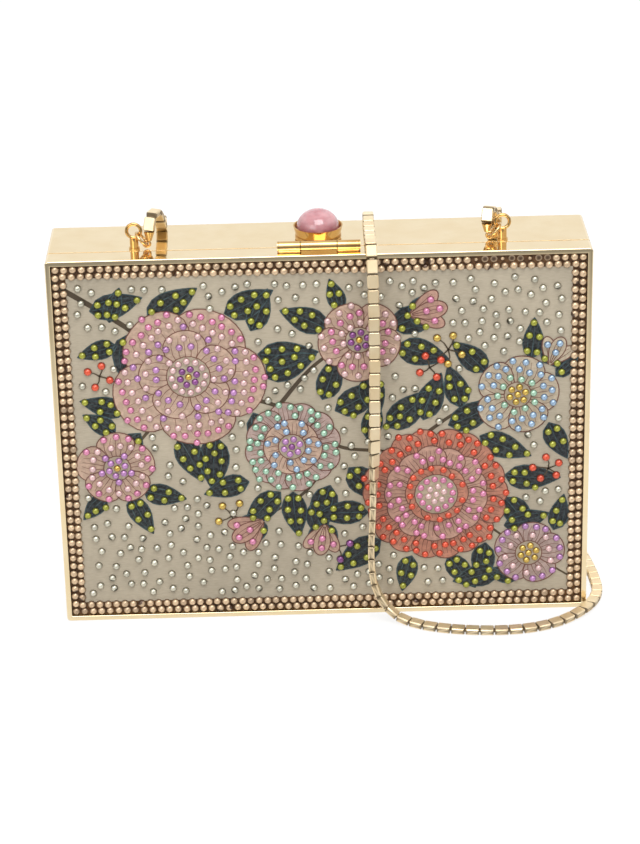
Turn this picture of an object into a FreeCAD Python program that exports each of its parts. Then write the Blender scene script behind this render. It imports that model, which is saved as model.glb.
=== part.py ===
import FreeCAD, Part
import math
import os

import Sketcher

# Driving sizes of the minaudiere, in millimetres and degrees
SIZES = {
    "case_width": 170.0,
    "case_height": 125.0,
    "case_depth": 32.0,
    "lid_depth": 8.0,
    "seam_gap": 0.2,
    "rim_wall": 1.7,
    "rim_corner": 1.2,
    "rim_edge": 0.4,
    "panel_recess": 1.2,
    "panel_thickness": 1.6,
    "panel_fit": 0.1,
    "lining_thickness": 0.8,
    "lining_fit": 0.3,
    "lip_thickness": 0.8,
    "lip_fit": 0.25,
    "lip_reach": 2.0,
    "lip_root": 9.0,
    "lip_foot": 6.0,
    "hinge_radius": 1.6,
    "hinge_clearance": 0.4,
    "hinge_inset": 1.0,
    "hinge_pin_radius": 0.7,
    "running_fit": 0.05,
    "knuckle_gap": 0.15,
    "leaf_thickness": 0.7,
    "lid_leaf_length": 4.0,
    "rear_leaf_length": 9.0,
    "clasp_radius": 1.6,
    "clasp_lift": 0.15,
    "clasp_setback": 4.0,
    "clasp_length": 25.0,
    "clasp_middle": 11.2,
    "clasp_foot": 2.0,
    "clasp_pin_radius": 0.55,
    "clasp_head": 0.4,
    "paddle_radius": 7.3,
    "paddle_gap": 0.45,
    "paddle_thickness": 1.0,
    "neck_width": 9.0,
    "setting_setback": 15.8,
    "setting_base_radius": 7.0,
    "setting_rim_radius": 7.8,
    "setting_height": 2.95,
    "setting_rim": 0.4,
    "setting_floor": 0.8,
    "setting_ledge": 0.65,
    "setting_peg_radius": 1.0,
    "stone_radius": 6.7,
    "stone_fit": 0.1,
    "stone_girdle": 1.6,
    "stone_dome": 5.7,
    "tongue_width": 5.0,
    "tongue_thickness": 1.0,
    "tongue_reach": 4.4,
    "tongue_foot": 1.0,
    "tongue_foot_height": 0.7,
    "tongue_setback": 12.1,
    "tongue_fit": 0.4,
    "notch_length": 6.5,
    "catch_thickness": 0.4,
    "catch_drop": 3.4,
    "catch_lip": 1.6,
    "catch_gap": 0.3,
    "catch_tab": 3.0,
    "catch_riser_setback": 18.0,
    "rivet_radius": 0.6,
    "rivet_head_radius": 1.0,
    "rivet_head": 0.5,
    "post_spacing": 115.0,
    "post_setback": 10.0,
    "post_flange_radius": 1.7,
    "post_flange": 0.6,
    "post_neck_radius": 1.35,
    "post_eye_height": 6.0,
    "post_eye_radius": 2.2,
    "post_wire_radius": 0.55,
    "post_shank_radius": 0.9,
    "nut_radius": 2.1,
    "nut_height": 1.5,
    "nut_end": 0.3,
    "end_ring_radius": 2.4,
    "end_ring_wire": 0.45,
    "end_ring_play": 0.1,
    "end_ring_droop": 48.0,
    "end_loop_radius": 1.0,
    "end_loop_wire": 0.4,
    "end_cap_radius": 1.7,
    "end_cap_tip_radius": 0.9,
    "end_cap_length": 2.8,
    "chain_diameter": 3.4,
    "overrun": 2.0,
}

KNUCKLES = 7
NUT_SIDES = 6
QUARTER_TURN = 90.0

# Places closer than this are one place when edges are picked
TOLERANCE = 1e-4

# How much of the shorter run beside a route point its arc takes up
ARC_SHARE = 0.45

# Neck top as a share of the way from the eye's outer edge to its hole
NECK_TOP_SHARE = 0.6

# Route of the chain's middle line, chosen by hand from the left end cap to the right one
CHAIN_ROUTE = [
    (-52.7, -5.4, 130.4), (-52.4, -4.8, 134.8), (-51.2, -0.9, 138.0), (-50.0, 3.8, 136.4),
    (-49.3, 7.8, 134.0), (-49.5, 12.4, 133.0), (-50.0, 18.8, 130.9), (-50.3, 23.6, 125.4),
    (-50.5, 24.8, 115.8), (-50.7, 23.9, 100.0), (-51.0, 23.3, 74.0), (-50.6, 23.5, 44.0),
    (-49.4, 24.8, 22.0), (-47.2, 28.6, 9.6), (-44.4, 35.0, 3.4), (-40.4, 43.4, 1.8),
    (-33.0, 54.6, 1.8), (-20.6, 62.2, 1.8), (-6.6, 61.6, 1.8), (5.0, 53.4, 1.8),
    (11.8, 42.0, 2.2), (15.0, 32.6, 6.6), (16.6, 26.6, 18.0), (16.8, 23.8, 40.0),
    (16.9, 23.5, 80.0), (16.6, 24.2, 108.4), (16.4, 23.7, 122.8), (16.3, 17.8, 131.4),
    (16.2, 6.0, 134.4), (16.1, -6.0, 134.5), (16.1, -17.4, 131.7), (16.3, -23.3, 123.6),
    (16.5, -23.5, 110.4), (16.6, -22.2, 92.0), (16.5, -21.8, 66.0), (15.8, -21.7, 40.0),
    (15.0, -21.3, 22.0), (16.4, -21.5, 10.4), (21.7, -22.9, 3.7), (30.2, -27.1, 1.8),
    (40.0, -31.0, 1.8), (53.0, -33.0, 1.8), (66.0, -32.6, 1.8), (77.2, -30.2, 1.8),
    (86.2, -24.0, 1.8), (91.8, -14.2, 1.8), (92.8, -1.5, 1.8), (91.0, 11.8, 1.8),
    (88.0, 25.4, 1.8), (84.8, 38.8, 1.8), (81.0, 48.6, 1.8), (73.6, 54.8, 1.8),
    (64.4, 54.2, 1.8), (58.2, 47.4, 1.8), (57.0, 38.4, 4.2), (57.6, 30.6, 11.0),
    (58.6, 25.6, 24.0), (58.7, 23.8, 46.0), (58.4, 23.3, 80.0), (58.2, 23.9, 107.0),
    (58.0, 23.9, 121.0), (57.6, 19.4, 129.6), (56.8, 12.4, 133.0), (55.8, 6.6, 134.9),
    (54.9, 2.2, 137.4), (53.4, -2.4, 138.0), (52.6, -5.5, 134.7), (52.7, -5.4, 130.4),
]

# How many whole runs come before the split run where one length of chain meets the next
RUNS_BEFORE_DRAPE_COUNT = 27
RUNS_TO_DRAPE_END_COUNT = 46


class Size:
    """A size with its value now and the sheet expression that gives it."""

    def __init__(self, value, text):
        self.value = value
        self.text = text

    def joined(self, other, sign, value):
        return Size(value, f"({self.text} {sign} {as_size(other).text})")

    def __add__(self, other):
        return self.joined(other, "+", self.value + as_size(other).value)

    def __sub__(self, other):
        return self.joined(other, "-", self.value - as_size(other).value)

    def __mul__(self, other):
        return self.joined(other, "*", self.value * as_size(other).value)

    def __truediv__(self, other):
        return self.joined(other, "/", self.value / as_size(other).value)

    def __neg__(self):
        return Size(-self.value, f"(-1 * {self.text})")


def as_size(number):
    return number if isinstance(number, Size) else Size(float(number), str(number))


class Sheet:
    """The spreadsheet of driving sizes, read by name."""

    def __init__(self, document, sizes):
        self.cells = document.addObject("Spreadsheet::Sheet", "sizes")
        for row, (alias, value) in enumerate(sizes.items(), start=1):
            self.cells.set(f"A{row}", alias)
            self.cells.set(f"B{row}", str(value))
            self.cells.setAlias(f"B{row}", alias)
        document.recompute()

    def __getattr__(self, alias):
        return Size(float(self.cells.get(alias)), f"sizes.{alias}")


document = FreeCAD.newDocument("minaudiere")
S = Sheet(document, SIZES)
ZERO = Size(0.0, "0")
subparts = []

# Planes and faces that several pieces share
half_width = S.case_width / 2
front = -(S.case_depth / 2)
back = S.case_depth / 2
top = S.case_height
seam = front + S.lid_depth
lid_back = seam - S.seam_gap / 2
rear_front = seam + S.seam_gap / 2
inner_x = half_width - S.rim_wall
inner_bottom = S.rim_wall
inner_top = top - S.rim_wall
front_panel_back = front + S.panel_recess + S.panel_thickness
rear_panel_front = back - S.panel_recess - S.panel_thickness
lining_inset = S.lip_fit + S.lip_thickness + S.lining_fit
lining_bottom = S.hinge_radius * 2 + S.lining_fit
hinge_notch = S.hinge_radius + S.hinge_clearance
hinge_length = S.case_width - S.hinge_inset * 2
knuckle_pitch = hinge_length / KNUCKLES
lip_top = inner_top - S.lip_fit
lip_x = inner_x - S.lip_fit
clasp_y = front + S.clasp_setback
clasp_z = top + S.clasp_radius + S.clasp_lift
setting_y = front + S.setting_setback
paddle_bottom = top + S.paddle_gap
paddle_top = paddle_bottom + S.paddle_thickness
tongue_back = front + S.tongue_setback
tongue_front = tongue_back - S.tongue_thickness
tongue_bottom = top - S.tongue_reach
notch_half = S.tongue_width / 2 + S.tongue_fit
notch_back = seam + S.notch_length
catch_riser = front + S.catch_riser_setback
rivet_y = catch_riser + S.catch_thickness + S.catch_tab / 2
rivet_xs = (-(S.tongue_width / 4), S.tongue_width / 4)
post_y = front + S.post_setback
post_x = S.post_spacing / 2


def bind(item, path, size):
    """Ties one property of an object to the sheet."""
    item.setExpression(path, size.text)


def bind_base(item, x, y, z):
    for axis, size in (("x", x), ("y", y), ("z", z)):
        bind(item, f"Placement.Base.{axis}", size)


def keep(item, label):
    """Names an object as a sub-part of its own."""
    item.Label = label
    subparts.append(item)
    return item


def pin_vertex(sketch, geometry, vertex, u, v):
    """Holds one sketch vertex at two sizes from the sketch's origin."""
    for kind, size in (("DistanceX", u), ("DistanceY", v)):
        constraint = Sketcher.Constraint(kind, -1, 1, geometry, vertex, size.value)
        index = sketch.addConstraint(constraint)
        sketch.setExpression(f"Constraints[{index}]", size.text)


def draw_polygon(sketch, points):
    first = sketch.GeometryCount
    places = [FreeCAD.Vector(u.value, v.value, 0) for u, v in points]
    count = len(points)
    for index in range(count):
        sketch.addGeometry(Part.LineSegment(places[index], places[(index + 1) % count]))
    for index in range(count):
        following = first + (index + 1) % count
        sketch.addConstraint(Sketcher.Constraint("Coincident", first + index, 2, following, 1))
    for index, (u, v) in enumerate(points):
        pin_vertex(sketch, first + index, 1, u, v)


def draw_circle(sketch, centre, radius):
    u, v = centre
    middle = FreeCAD.Vector(u.value, v.value, 0)
    circle = Part.Circle(middle, FreeCAD.Vector(0, 0, 1), radius.value)
    geometry = sketch.addGeometry(circle)
    pin_vertex(sketch, geometry, 3, u, v)
    index = sketch.addConstraint(Sketcher.Constraint("Radius", geometry, radius.value))
    sketch.setExpression(f"Constraints[{index}]", radius.text)


def rectangle(u0, u1, v0, v1):
    return [(u0, v0), (u1, v0), (u1, v1), (u0, v1)]


def circle(u, v, radius):
    return ((u, v), radius)


def sketch_on(body, role, offset, loops):
    """Draws loops on one of the body's own origin planes, moved along its normal."""
    sketch = body.newObject("Sketcher::SketchObject", f"{body.Label}_sketch")
    plane = next(item for item in body.Origin.OriginFeatures if item.Role == role)
    sketch.AttachmentSupport = (plane, [""])
    sketch.MapMode = "FlatFace"
    bind(sketch, "AttachmentOffset.Base.z", offset)
    for loop in loops:
        if isinstance(loop, list):
            draw_polygon(sketch, loop)
        else:
            draw_circle(sketch, *loop)
    return sketch


def prism(body, kind, axis, loops, low, high):
    """Adds or cuts a straight prism between two places along an axis."""
    roles = {"X": "YZ_Plane", "Y": "XZ_Plane", "Z": "XY_Plane"}
    offset = -high if axis == "Y" else low
    sketch = sketch_on(body, roles[axis], offset, loops)
    feature = body.newObject(f"PartDesign::{kind}", f"{body.Label}_{kind}")
    feature.Profile = sketch
    feature.Type = "Length"
    bind(feature, "Length", high - low)
    feature.Reversed = kind == "Pocket"
    body.Tip = feature
    return feature


def new_body(label):
    return keep(document.addObject("PartDesign::Body", label), label)


def round_edges(body, radius, chosen):
    """Fillets the edges of the body's tip that pass a test."""
    document.recompute()
    base = body.Tip
    names = [f"Edge{n}" for n, edge in enumerate(base.Shape.Edges, start=1) if chosen(edge)]
    feature = body.newObject("PartDesign::Fillet", f"{body.Label}_fillet")
    feature.Base = (base, names)
    bind(feature, "Radius", radius)
    body.Tip = feature


def revolve(body, points):
    """Turns a profile of radius and height about the body's own upright axis."""
    sketch = sketch_on(body, "XZ_Plane", ZERO, [points])
    feature = body.newObject("PartDesign::Revolution", f"{body.Label}_turn")
    feature.Profile = sketch
    feature.ReferenceAxis = (sketch, ["V_Axis"])
    body.Tip = feature


def box(name, x0, x1, y0, y1, z0, z1):
    item = document.addObject("Part::Box", name)
    for side, size in (("Length", x1 - x0), ("Width", y1 - y0), ("Height", z1 - z0)):
        bind(item, side, size)
    bind_base(item, x0, y0, z0)
    return item


def upright_rod(name, radius, x, y, z0, z1):
    item = document.addObject("Part::Cylinder", name)
    bind(item, "Radius", radius)
    bind(item, "Height", z1 - z0)
    bind_base(item, x, y, z0)
    return item


def cross_rod(name, radius, x0, x1, y, z):
    """A rod along the case's width."""
    item = document.addObject("Part::Cylinder", name)
    bind(item, "Radius", radius)
    bind(item, "Height", x1 - x0)
    across = FreeCAD.Rotation(FreeCAD.Vector(0, 1, 0), QUARTER_TURN)
    item.Placement = FreeCAD.Placement(FreeCAD.Vector(), across)
    bind_base(item, x0, y, z)
    return item


def fuse(name, items):
    item = document.addObject("Part::MultiFuse", name)
    item.Shapes = items
    return item


def cut(name, base, tool):
    item = document.addObject("Part::Cut", name)
    item.Base = base
    item.Tool = tool
    return item


def near(value, target):
    return abs(value - target) < TOLERANCE


def runs_along(edge, axis):
    ends = [vertex.Point for vertex in edge.Vertexes]
    if len(ends) != 2 or edge.Curve.TypeId != "Part::GeomLine":
        return False
    others = [n for n in range(3) if n != axis]
    return all(near(ends[0][n], ends[1][n]) for n in others)


def outer_corner(edge):
    """Whether an edge runs front to back along an outer corner of a frame."""
    place = edge.Vertexes[0].Point
    at_side = near(abs(place.x), half_width.value)
    at_end = near(place.z, 0) or near(place.z, top.value)
    return at_side and at_end and runs_along(edge, 1)


def outer_rim_at(y):
    """A test for the edges of a frame's outer outline at one depth."""

    def test(edge):
        box_of_edge = edge.BoundBox
        flat = near(box_of_edge.YMin, y.value) and near(box_of_edge.YMax, y.value)
        reach = max(abs(box_of_edge.XMin), abs(box_of_edge.XMax))
        beside = reach > inner_x.value + TOLERANCE
        above = box_of_edge.ZMax > inner_top.value + TOLERANCE
        below = box_of_edge.ZMin < inner_bottom.value - TOLERANCE
        return flat and (beside or above or below)

    return test


def frame(label, low, high, face):
    """One half's metal frame: four walls with rounded outer corners and a rounded face edge."""
    body = new_body(label)
    outline = rectangle(-half_width, half_width, ZERO, top)
    hollow = rectangle(-inner_x, inner_x, inner_bottom, inner_top)
    prism(body, "Pad", "Y", [outline, hollow], low, high)
    round_edges(body, S.rim_corner, outer_corner)
    round_edges(body, S.rim_edge, outer_rim_at(face))
    room = rectangle(seam - hinge_notch, seam + hinge_notch, -S.overrun, lining_bottom)
    prism(body, "Pocket", "X", [room], -half_width - S.overrun, half_width + S.overrun)
    return body


def make_frames():
    frame("lid_frame", front, lid_back, front)
    body = frame("rear_frame", rear_front, back, back)
    notch = rectangle(-notch_half, notch_half, seam - S.overrun, notch_back)
    prism(body, "Pocket", "Z", [notch], inner_top - S.overrun, top + S.overrun)
    hole_radius = S.post_shank_radius + S.running_fit
    holes = [circle(-post_x, post_y, hole_radius), circle(post_x, post_y, hole_radius)]
    holes += [circle(x, rivet_y, S.rivet_radius + S.running_fit) for x in rivet_xs]
    prism(body, "Pocket", "Z", holes, inner_top - S.overrun, top + S.overrun)


def make_panels():
    """The stiff covered boards that fill the two frames."""
    outline = rectangle(
        -inner_x + S.panel_fit, inner_x - S.panel_fit,
        inner_bottom + S.panel_fit, inner_top - S.panel_fit,
    )
    places = (
        ("front_panel", front + S.panel_recess, front_panel_back),
        ("rear_panel", rear_panel_front, back - S.panel_recess),
    )
    for label, low, high in places:
        prism(new_body(label), "Pad", "Y", [outline], low, high)


def lining(label, ceiling, floor, mouth, floor_is_low):
    """A lining tray, with its floor on the panel and its mouth at the seam."""
    body = new_body(label)
    half = inner_x - lining_inset
    outline = rectangle(-half, half, lining_bottom, ceiling)
    low, high = (floor, mouth) if floor_is_low else (mouth, floor)
    prism(body, "Pad", "Y", [outline], low, high)
    wall = S.lining_thickness
    hollow = rectangle(-half + wall, half - wall, lining_bottom + wall, ceiling - wall)
    if floor_is_low:
        prism(body, "Pocket", "Y", [hollow], floor + wall, mouth + S.overrun)
    else:
        prism(body, "Pocket", "Y", [hollow], mouth - S.overrun, floor - wall)


def make_linings():
    lid_ceiling = inner_top - lining_inset
    rear_ceiling = inner_top - S.catch_drop - S.lining_fit
    lining("lid_lining", lid_ceiling, front_panel_back, lid_back - S.lining_fit, True)
    lining("rear_lining", rear_ceiling, rear_panel_front, rear_front + S.lining_fit, False)


def make_closing_lip():
    """The strip round the rear half's mouth that nests inside the closed lid."""
    body = new_body("closing_lip")
    inside = lip_x - S.lip_thickness
    ceiling = lip_top - S.lip_thickness
    strip = [
        (-lip_x, S.lip_foot), (-lip_x, lip_top), (lip_x, lip_top), (lip_x, S.lip_foot),
        (inside, S.lip_foot), (inside, ceiling), (-inside, ceiling), (-inside, S.lip_foot),
    ]
    prism(body, "Pad", "Y", [strip], seam - S.lip_reach, seam + S.lip_root)
    notch = rectangle(-notch_half, notch_half, seam - S.lip_reach - S.overrun, notch_back)
    hole_radius = S.post_shank_radius + S.running_fit
    holes = [circle(-post_x, post_y, hole_radius), circle(post_x, post_y, hole_radius)]
    prism(body, "Pocket", "Z", [notch] + holes, ceiling - S.overrun, lip_top + S.overrun)


def hinge_leaf(label, first, side, reach):
    """A leaf with every second knuckle; side is 1 behind the seam and -1 in front of it."""
    low = inner_bottom
    high = inner_bottom + S.leaf_thickness
    near_edge = seam + hinge_notch * side
    far_edge = seam + reach * side
    ends = (near_edge, far_edge) if side > 0 else (far_edge, near_edge)
    half_length = hinge_length / 2
    strip_half = inner_x - S.panel_fit
    pieces = [box(f"{label}_strip", -strip_half, strip_half, *ends, low, high)]
    for index in range(first, KNUCKLES, 2):
        x0 = -half_length + knuckle_pitch * index + S.knuckle_gap / 2
        x1 = -half_length + knuckle_pitch * (index + 1) - S.knuckle_gap / 2
        web_ends = (seam, near_edge) if side > 0 else (near_edge, seam)
        pieces.append(box(f"{label}_web_{index}", x0, x1, *web_ends, low, high))
        pieces.append(cross_rod(f"{label}_knuckle_{index}", S.hinge_radius, x0, x1, seam, S.hinge_radius))
    bore_radius = S.hinge_pin_radius + S.running_fit
    bore = cross_rod(f"{label}_bore", bore_radius, -half_width, half_width, seam, S.hinge_radius)
    keep(cut(label, fuse(f"{label}_solid", pieces), bore), label)


def make_hinge():
    hinge_leaf("rear_hinge_leaf", 0, 1, S.rear_leaf_length)
    hinge_leaf("lid_hinge_leaf", 1, -1, S.lid_leaf_length)
    half = hinge_length / 2
    keep(cross_rod("hinge_pin", S.hinge_pin_radius, -half, half, seam, S.hinge_radius), "hinge_pin")


def make_clasp_knuckles():
    """The two fixed barrels on the lid's top that carry the clasp's pin."""
    bore_radius = S.clasp_pin_radius + S.running_fit
    inner_end = S.clasp_middle / 2 + S.knuckle_gap
    outer_end = S.clasp_length / 2
    foot = rectangle(clasp_y - S.clasp_foot / 2, clasp_y + S.clasp_foot / 2, top, clasp_z)
    barrel = circle(clasp_y, clasp_z, S.clasp_radius)
    bore = circle(clasp_y, clasp_z, bore_radius)
    sides = (("clasp_left_knuckle", -outer_end, -inner_end), ("clasp_right_knuckle", inner_end, outer_end))
    for label, low, high in sides:
        body = new_body(label)
        prism(body, "Pad", "X", [barrel], low, high)
        prism(body, "Pad", "X", [foot], low, high)
        prism(body, "Pocket", "X", [bore], low - S.overrun, high + S.overrun)


def make_clasp_pin():
    half = S.clasp_length / 2
    end = half + S.clasp_head
    shaft = cross_rod("clasp_pin_shaft", S.clasp_pin_radius, -end, end, clasp_y, clasp_z)
    left = cross_rod("clasp_pin_left", S.clasp_radius, -end, -half, clasp_y, clasp_z)
    right = cross_rod("clasp_pin_right", S.clasp_radius, half, end, clasp_y, clasp_z)
    keep(fuse("clasp_pin", [shaft, left, right]), "clasp_pin")


def make_clasp_lever():
    """The lifting lever: middle barrel, neck, round paddle and the tongue that drops in the notch."""
    body = new_body("clasp_lever")
    half = S.clasp_middle / 2
    prism(body, "Pad", "X", [circle(clasp_y, clasp_z, S.clasp_radius)], -half, half)
    neck_half = S.neck_width / 2
    neck = rectangle(-neck_half, neck_half, clasp_y, setting_y)
    prism(body, "Pad", "Z", [neck], paddle_bottom, paddle_top)
    prism(body, "Pad", "Z", [circle(ZERO, setting_y, S.paddle_radius)], paddle_bottom, paddle_top)
    foot_top = tongue_bottom + S.tongue_foot_height
    foot_front = tongue_front - S.tongue_foot
    tongue = [
        (tongue_back, tongue_bottom), (tongue_back, paddle_top), (tongue_front, paddle_top),
        (tongue_front, foot_top), (foot_front, foot_top), (foot_front, tongue_bottom),
    ]
    prism(body, "Pad", "X", [tongue], -(S.tongue_width / 2), S.tongue_width / 2)
    bore = circle(clasp_y, clasp_z, S.clasp_pin_radius + S.running_fit)
    prism(body, "Pocket", "X", [bore], -half - S.overrun, half + S.overrun)
    peg_hole = circle(ZERO, setting_y, S.setting_peg_radius + S.running_fit)
    prism(body, "Pocket", "Z", [peg_hole], paddle_bottom - S.overrun, paddle_top + S.overrun)


def make_setting():
    """The dish that holds the stone, pegged through the paddle."""
    body = new_body("stone_setting")
    rim = S.setting_height
    wall = S.stone_radius + S.stone_fit
    revolve(body, [
        (ZERO, -S.paddle_thickness), (S.setting_peg_radius, -S.paddle_thickness),
        (S.setting_peg_radius, ZERO), (S.setting_base_radius, ZERO), (S.setting_rim_radius, rim),
        (S.setting_rim_radius - S.setting_rim, rim), (wall, S.setting_floor + S.setting_ledge),
        (wall, S.setting_floor), (ZERO, S.setting_floor),
    ])
    bind_base(body, ZERO, setting_y, paddle_top)


def make_stone():
    seat = paddle_top + S.setting_floor
    girdle = seat + S.stone_girdle
    base = upright_rod("stone_base", S.stone_radius, ZERO, setting_y, seat, girdle)
    dome = document.addObject("Part::Ellipsoid", "stone_dome_shape")
    bind(dome, "Radius1", S.stone_dome)
    bind(dome, "Radius2", S.stone_radius)
    bind(dome, "Radius3", S.stone_radius)
    dome.Angle1 = 0
    dome.Angle2 = QUARTER_TURN
    bind_base(dome, ZERO, setting_y, girdle)
    keep(fuse("cabochon", [base, dome]), "cabochon")


def make_catch():
    """The sprung catch under the rear half's top wall, and the rivets that hold it."""
    body = new_body("catch_spring")
    thick = S.catch_thickness
    leaf_bottom = inner_top - S.catch_drop
    leaf_top = leaf_bottom + thick
    lip_back = tongue_front - S.tongue_foot - S.catch_gap
    riser_back = catch_riser + thick
    tab_end = riser_back + S.catch_tab
    profile = [
        (lip_back - thick, leaf_bottom), (riser_back, leaf_bottom), (riser_back, inner_top - thick),
        (tab_end, inner_top - thick), (tab_end, inner_top), (catch_riser, inner_top),
        (catch_riser, leaf_top), (lip_back, leaf_top), (lip_back, leaf_top + S.catch_lip),
        (lip_back - thick, leaf_top + S.catch_lip),
    ]
    half = S.tongue_width / 2
    prism(body, "Pad", "X", [profile], -half, half)
    holes = [circle(x, rivet_y, S.rivet_radius + S.running_fit) for x in rivet_xs]
    prism(body, "Pocket", "Z", holes, inner_top - thick - S.overrun / 2, inner_top + S.overrun)
    head_top = inner_top - thick
    rivets = []
    for index, x in enumerate(rivet_xs):
        shank = upright_rod(f"rivet_shank_{index}", S.rivet_radius, x, rivet_y, head_top, top)
        head = upright_rod(
            f"rivet_head_{index}", S.rivet_head_radius, x, rivet_y, head_top - S.rivet_head, head_top
        )
        rivets.append(fuse(f"rivet_{index}", [shank, head]))
    group = document.addObject("Part::Compound", "catch_rivets")
    group.Links = rivets
    keep(group, "catch_rivets")


def make_post(label, side):
    """A chain post: flange, neck, upright eye and a shank through the top wall."""
    x = post_x * side
    eye_z = top + S.post_eye_height
    outer = S.post_eye_radius + S.post_wire_radius
    neck_top = eye_z - outer + S.post_wire_radius * 2 * NECK_TOP_SHARE
    nut_bottom = lip_top - S.lip_thickness - S.nut_height
    flange = upright_rod(f"{label}_flange", S.post_flange_radius, x, post_y, top, top + S.post_flange)
    neck = upright_rod(f"{label}_neck", S.post_neck_radius, x, post_y, top, neck_top)
    shank = upright_rod(f"{label}_shank", S.post_shank_radius, x, post_y, nut_bottom - S.nut_end, top)
    eye = document.addObject("Part::Torus", f"{label}_eye")
    bind(eye, "Radius1", S.post_eye_radius)
    bind(eye, "Radius2", S.post_wire_radius)
    facing = FreeCAD.Rotation(FreeCAD.Vector(1, 0, 0), QUARTER_TURN)
    eye.Placement = FreeCAD.Placement(FreeCAD.Vector(), facing)
    bind_base(eye, x, post_y, eye_z)
    keep(fuse(label, [flange, neck, shank, eye]), label)


def make_nut(label, side):
    x = post_x * side
    nut_top = lip_top - S.lip_thickness
    blank = document.addObject("Part::Prism", f"{label}_blank")
    blank.Polygon = NUT_SIDES
    bind(blank, "Circumradius", S.nut_radius)
    bind(blank, "Height", S.nut_height)
    bind_base(blank, x, post_y, nut_top - S.nut_height)
    bore = upright_rod(
        f"{label}_bore", S.post_shank_radius + S.running_fit, x, post_y,
        nut_top - S.nut_height - S.overrun, nut_top + S.overrun,
    )
    keep(cut(label, blank, bore), label)


def ring_lower_end(side):
    """The place of the end ring's wire where the chain's end loop hangs on it."""
    droop = math.radians(S.end_ring_droop.value)
    start = S.post_eye_radius - S.post_wire_radius - S.end_ring_wire - S.end_ring_play
    reach = start + S.end_ring_radius * 2
    x = post_x * side - reach * (side * math.cos(droop))
    z = top + S.post_eye_height - reach * math.sin(droop)
    return x, z


def make_end_ring(label, side):
    """The ring through the post's eye, leaning inward and down to the chain."""
    droop = math.radians(S.end_ring_droop.value)
    low_x, low_z = ring_lower_end(side)
    ring = document.addObject("Part::Torus", label)
    bind(ring, "Radius1", S.end_ring_radius)
    bind(ring, "Radius2", S.end_ring_wire)
    lean = FreeCAD.Rotation(FreeCAD.Vector(0, 1, 0), -side * S.end_ring_droop.value)
    ring.Placement = FreeCAD.Placement(FreeCAD.Vector(), lean)
    x = low_x + S.end_ring_radius * (side * math.cos(droop))
    z = low_z + S.end_ring_radius * math.sin(droop)
    bind_base(ring, x, post_y, z)
    keep(ring, label)


def make_chain_end(label, side, start, following):
    """The end cap on the chain's first link and the small loop that holds it on the end ring."""
    low_x, low_z = ring_lower_end(side)
    hold = FreeCAD.Vector(low_x.value, post_y.value, low_z.value)
    along = (start - hold).normalize()
    lift = S.end_loop_radius.value - S.end_ring_wire.value - S.end_loop_wire.value
    centre = hold + along * (lift - S.end_ring_play.value)
    loop = Part.makeTorus(
        S.end_loop_radius.value, S.end_loop_wire.value, centre, FreeCAD.Vector(0, 1, 0)
    )
    direction = (following - start).normalize()
    base = start - direction * S.end_cap_length.value
    cap = Part.makeCone(
        S.end_cap_tip_radius.value, S.end_cap_radius.value, S.end_cap_length.value, base, direction
    )
    item = document.addObject("Part::Feature", label)
    item.Shape = loop.fuse(cap).removeSplitter()
    keep(item, label)


def corner_arcs(points):
    """Each inner route point's arc, as large as its runs allow: start, middle, end and radius."""
    arcs = []
    for before, here, after in zip(points, points[1:], points[2:]):
        inward = (before - here).normalize()
        outward = (after - here).normalize()
        half_turn = (math.pi - inward.getAngle(outward)) / 2
        setback = ARC_SHARE * min((before - here).Length, (after - here).Length)
        radius = setback / math.tan(half_turn)
        bisector = (inward + outward).normalize()
        depth = radius / math.cos(half_turn) - radius
        arcs.append((here + inward * setback, here + bisector * depth, here + outward * setback, radius))
    return arcs


def middle(points, run):
    return (points[run] + points[run + 1]) / 2


def chain_tube(label, points, arcs, first_run, last_run):
    """One length of chain along whole runs, from the middle of a split run to the next."""
    last_index = len(points) - 1
    start = points[0] if first_run == 0 else middle(points, first_run)
    end = points[-1] if last_run == last_index - 1 else middle(points, last_run)
    edges = []
    place = start
    for index in range(first_run + 1, last_run + 1):
        arc_start, arc_middle, arc_end, _ = arcs[index - 1]
        edges.append(Part.LineSegment(place, arc_start).toShape())
        edges.append(Part.Arc(arc_start, arc_middle, arc_end).toShape())
        place = arc_end
    edges.append(Part.LineSegment(place, end).toShape())
    path = Part.Wire(edges)
    radius = S.chain_diameter.value / 2
    direction = edges[0].tangentAt(edges[0].FirstParameter)
    section = Part.Wire([Part.Circle(start, direction, radius).toShape()])
    tube = path.makePipeShell([section], True, False)
    share = tube.Volume / (math.pi * radius ** 2 * path.Length)
    print(label, "length", round(path.Length, 1), "volume over section times length", round(share, 4))
    item = document.addObject("Part::Feature", label)
    item.Shape = tube
    keep(item, label)
    return path.Length


def make_chain():
    points = [FreeCAD.Vector(*place) for place in CHAIN_ROUTE]
    arcs = corner_arcs(points)
    print("chain radii", [round(arc[3], 1) for arc in arcs])
    last_run = len(points) - 2
    lengths = [
        chain_tube("chain_left_run", points, arcs, 0, RUNS_BEFORE_DRAPE_COUNT),
        chain_tube("chain_drape", points, arcs, RUNS_BEFORE_DRAPE_COUNT, RUNS_TO_DRAPE_END_COUNT),
        chain_tube("chain_right_run", points, arcs, RUNS_TO_DRAPE_END_COUNT, last_run),
    ]
    print("chain length", round(sum(lengths), 1))
    make_chain_end("left_chain_end", -1, points[0], points[1])
    make_chain_end("right_chain_end", 1, points[-1], points[-2])


def make_posts():
    for name, side in (("left", -1), ("right", 1)):
        make_post(f"{name}_post", side)
        make_nut(f"{name}_nut", side)
        make_end_ring(f"{name}_end_ring", side)


def check_document():
    """Stops on any object that failed and on any sub-part without a sound shape."""
    for item in document.Objects:
        if "Invalid" in item.State or "Error" in item.State:
            raise RuntimeError(f"{item.Label} failed: {item.State}")
    for item in subparts:
        if item.Shape.isNull() or not item.Shape.isValid() or not item.Shape.Solids:
            raise RuntimeError(f"{item.Label} has no sound shape")


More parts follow.
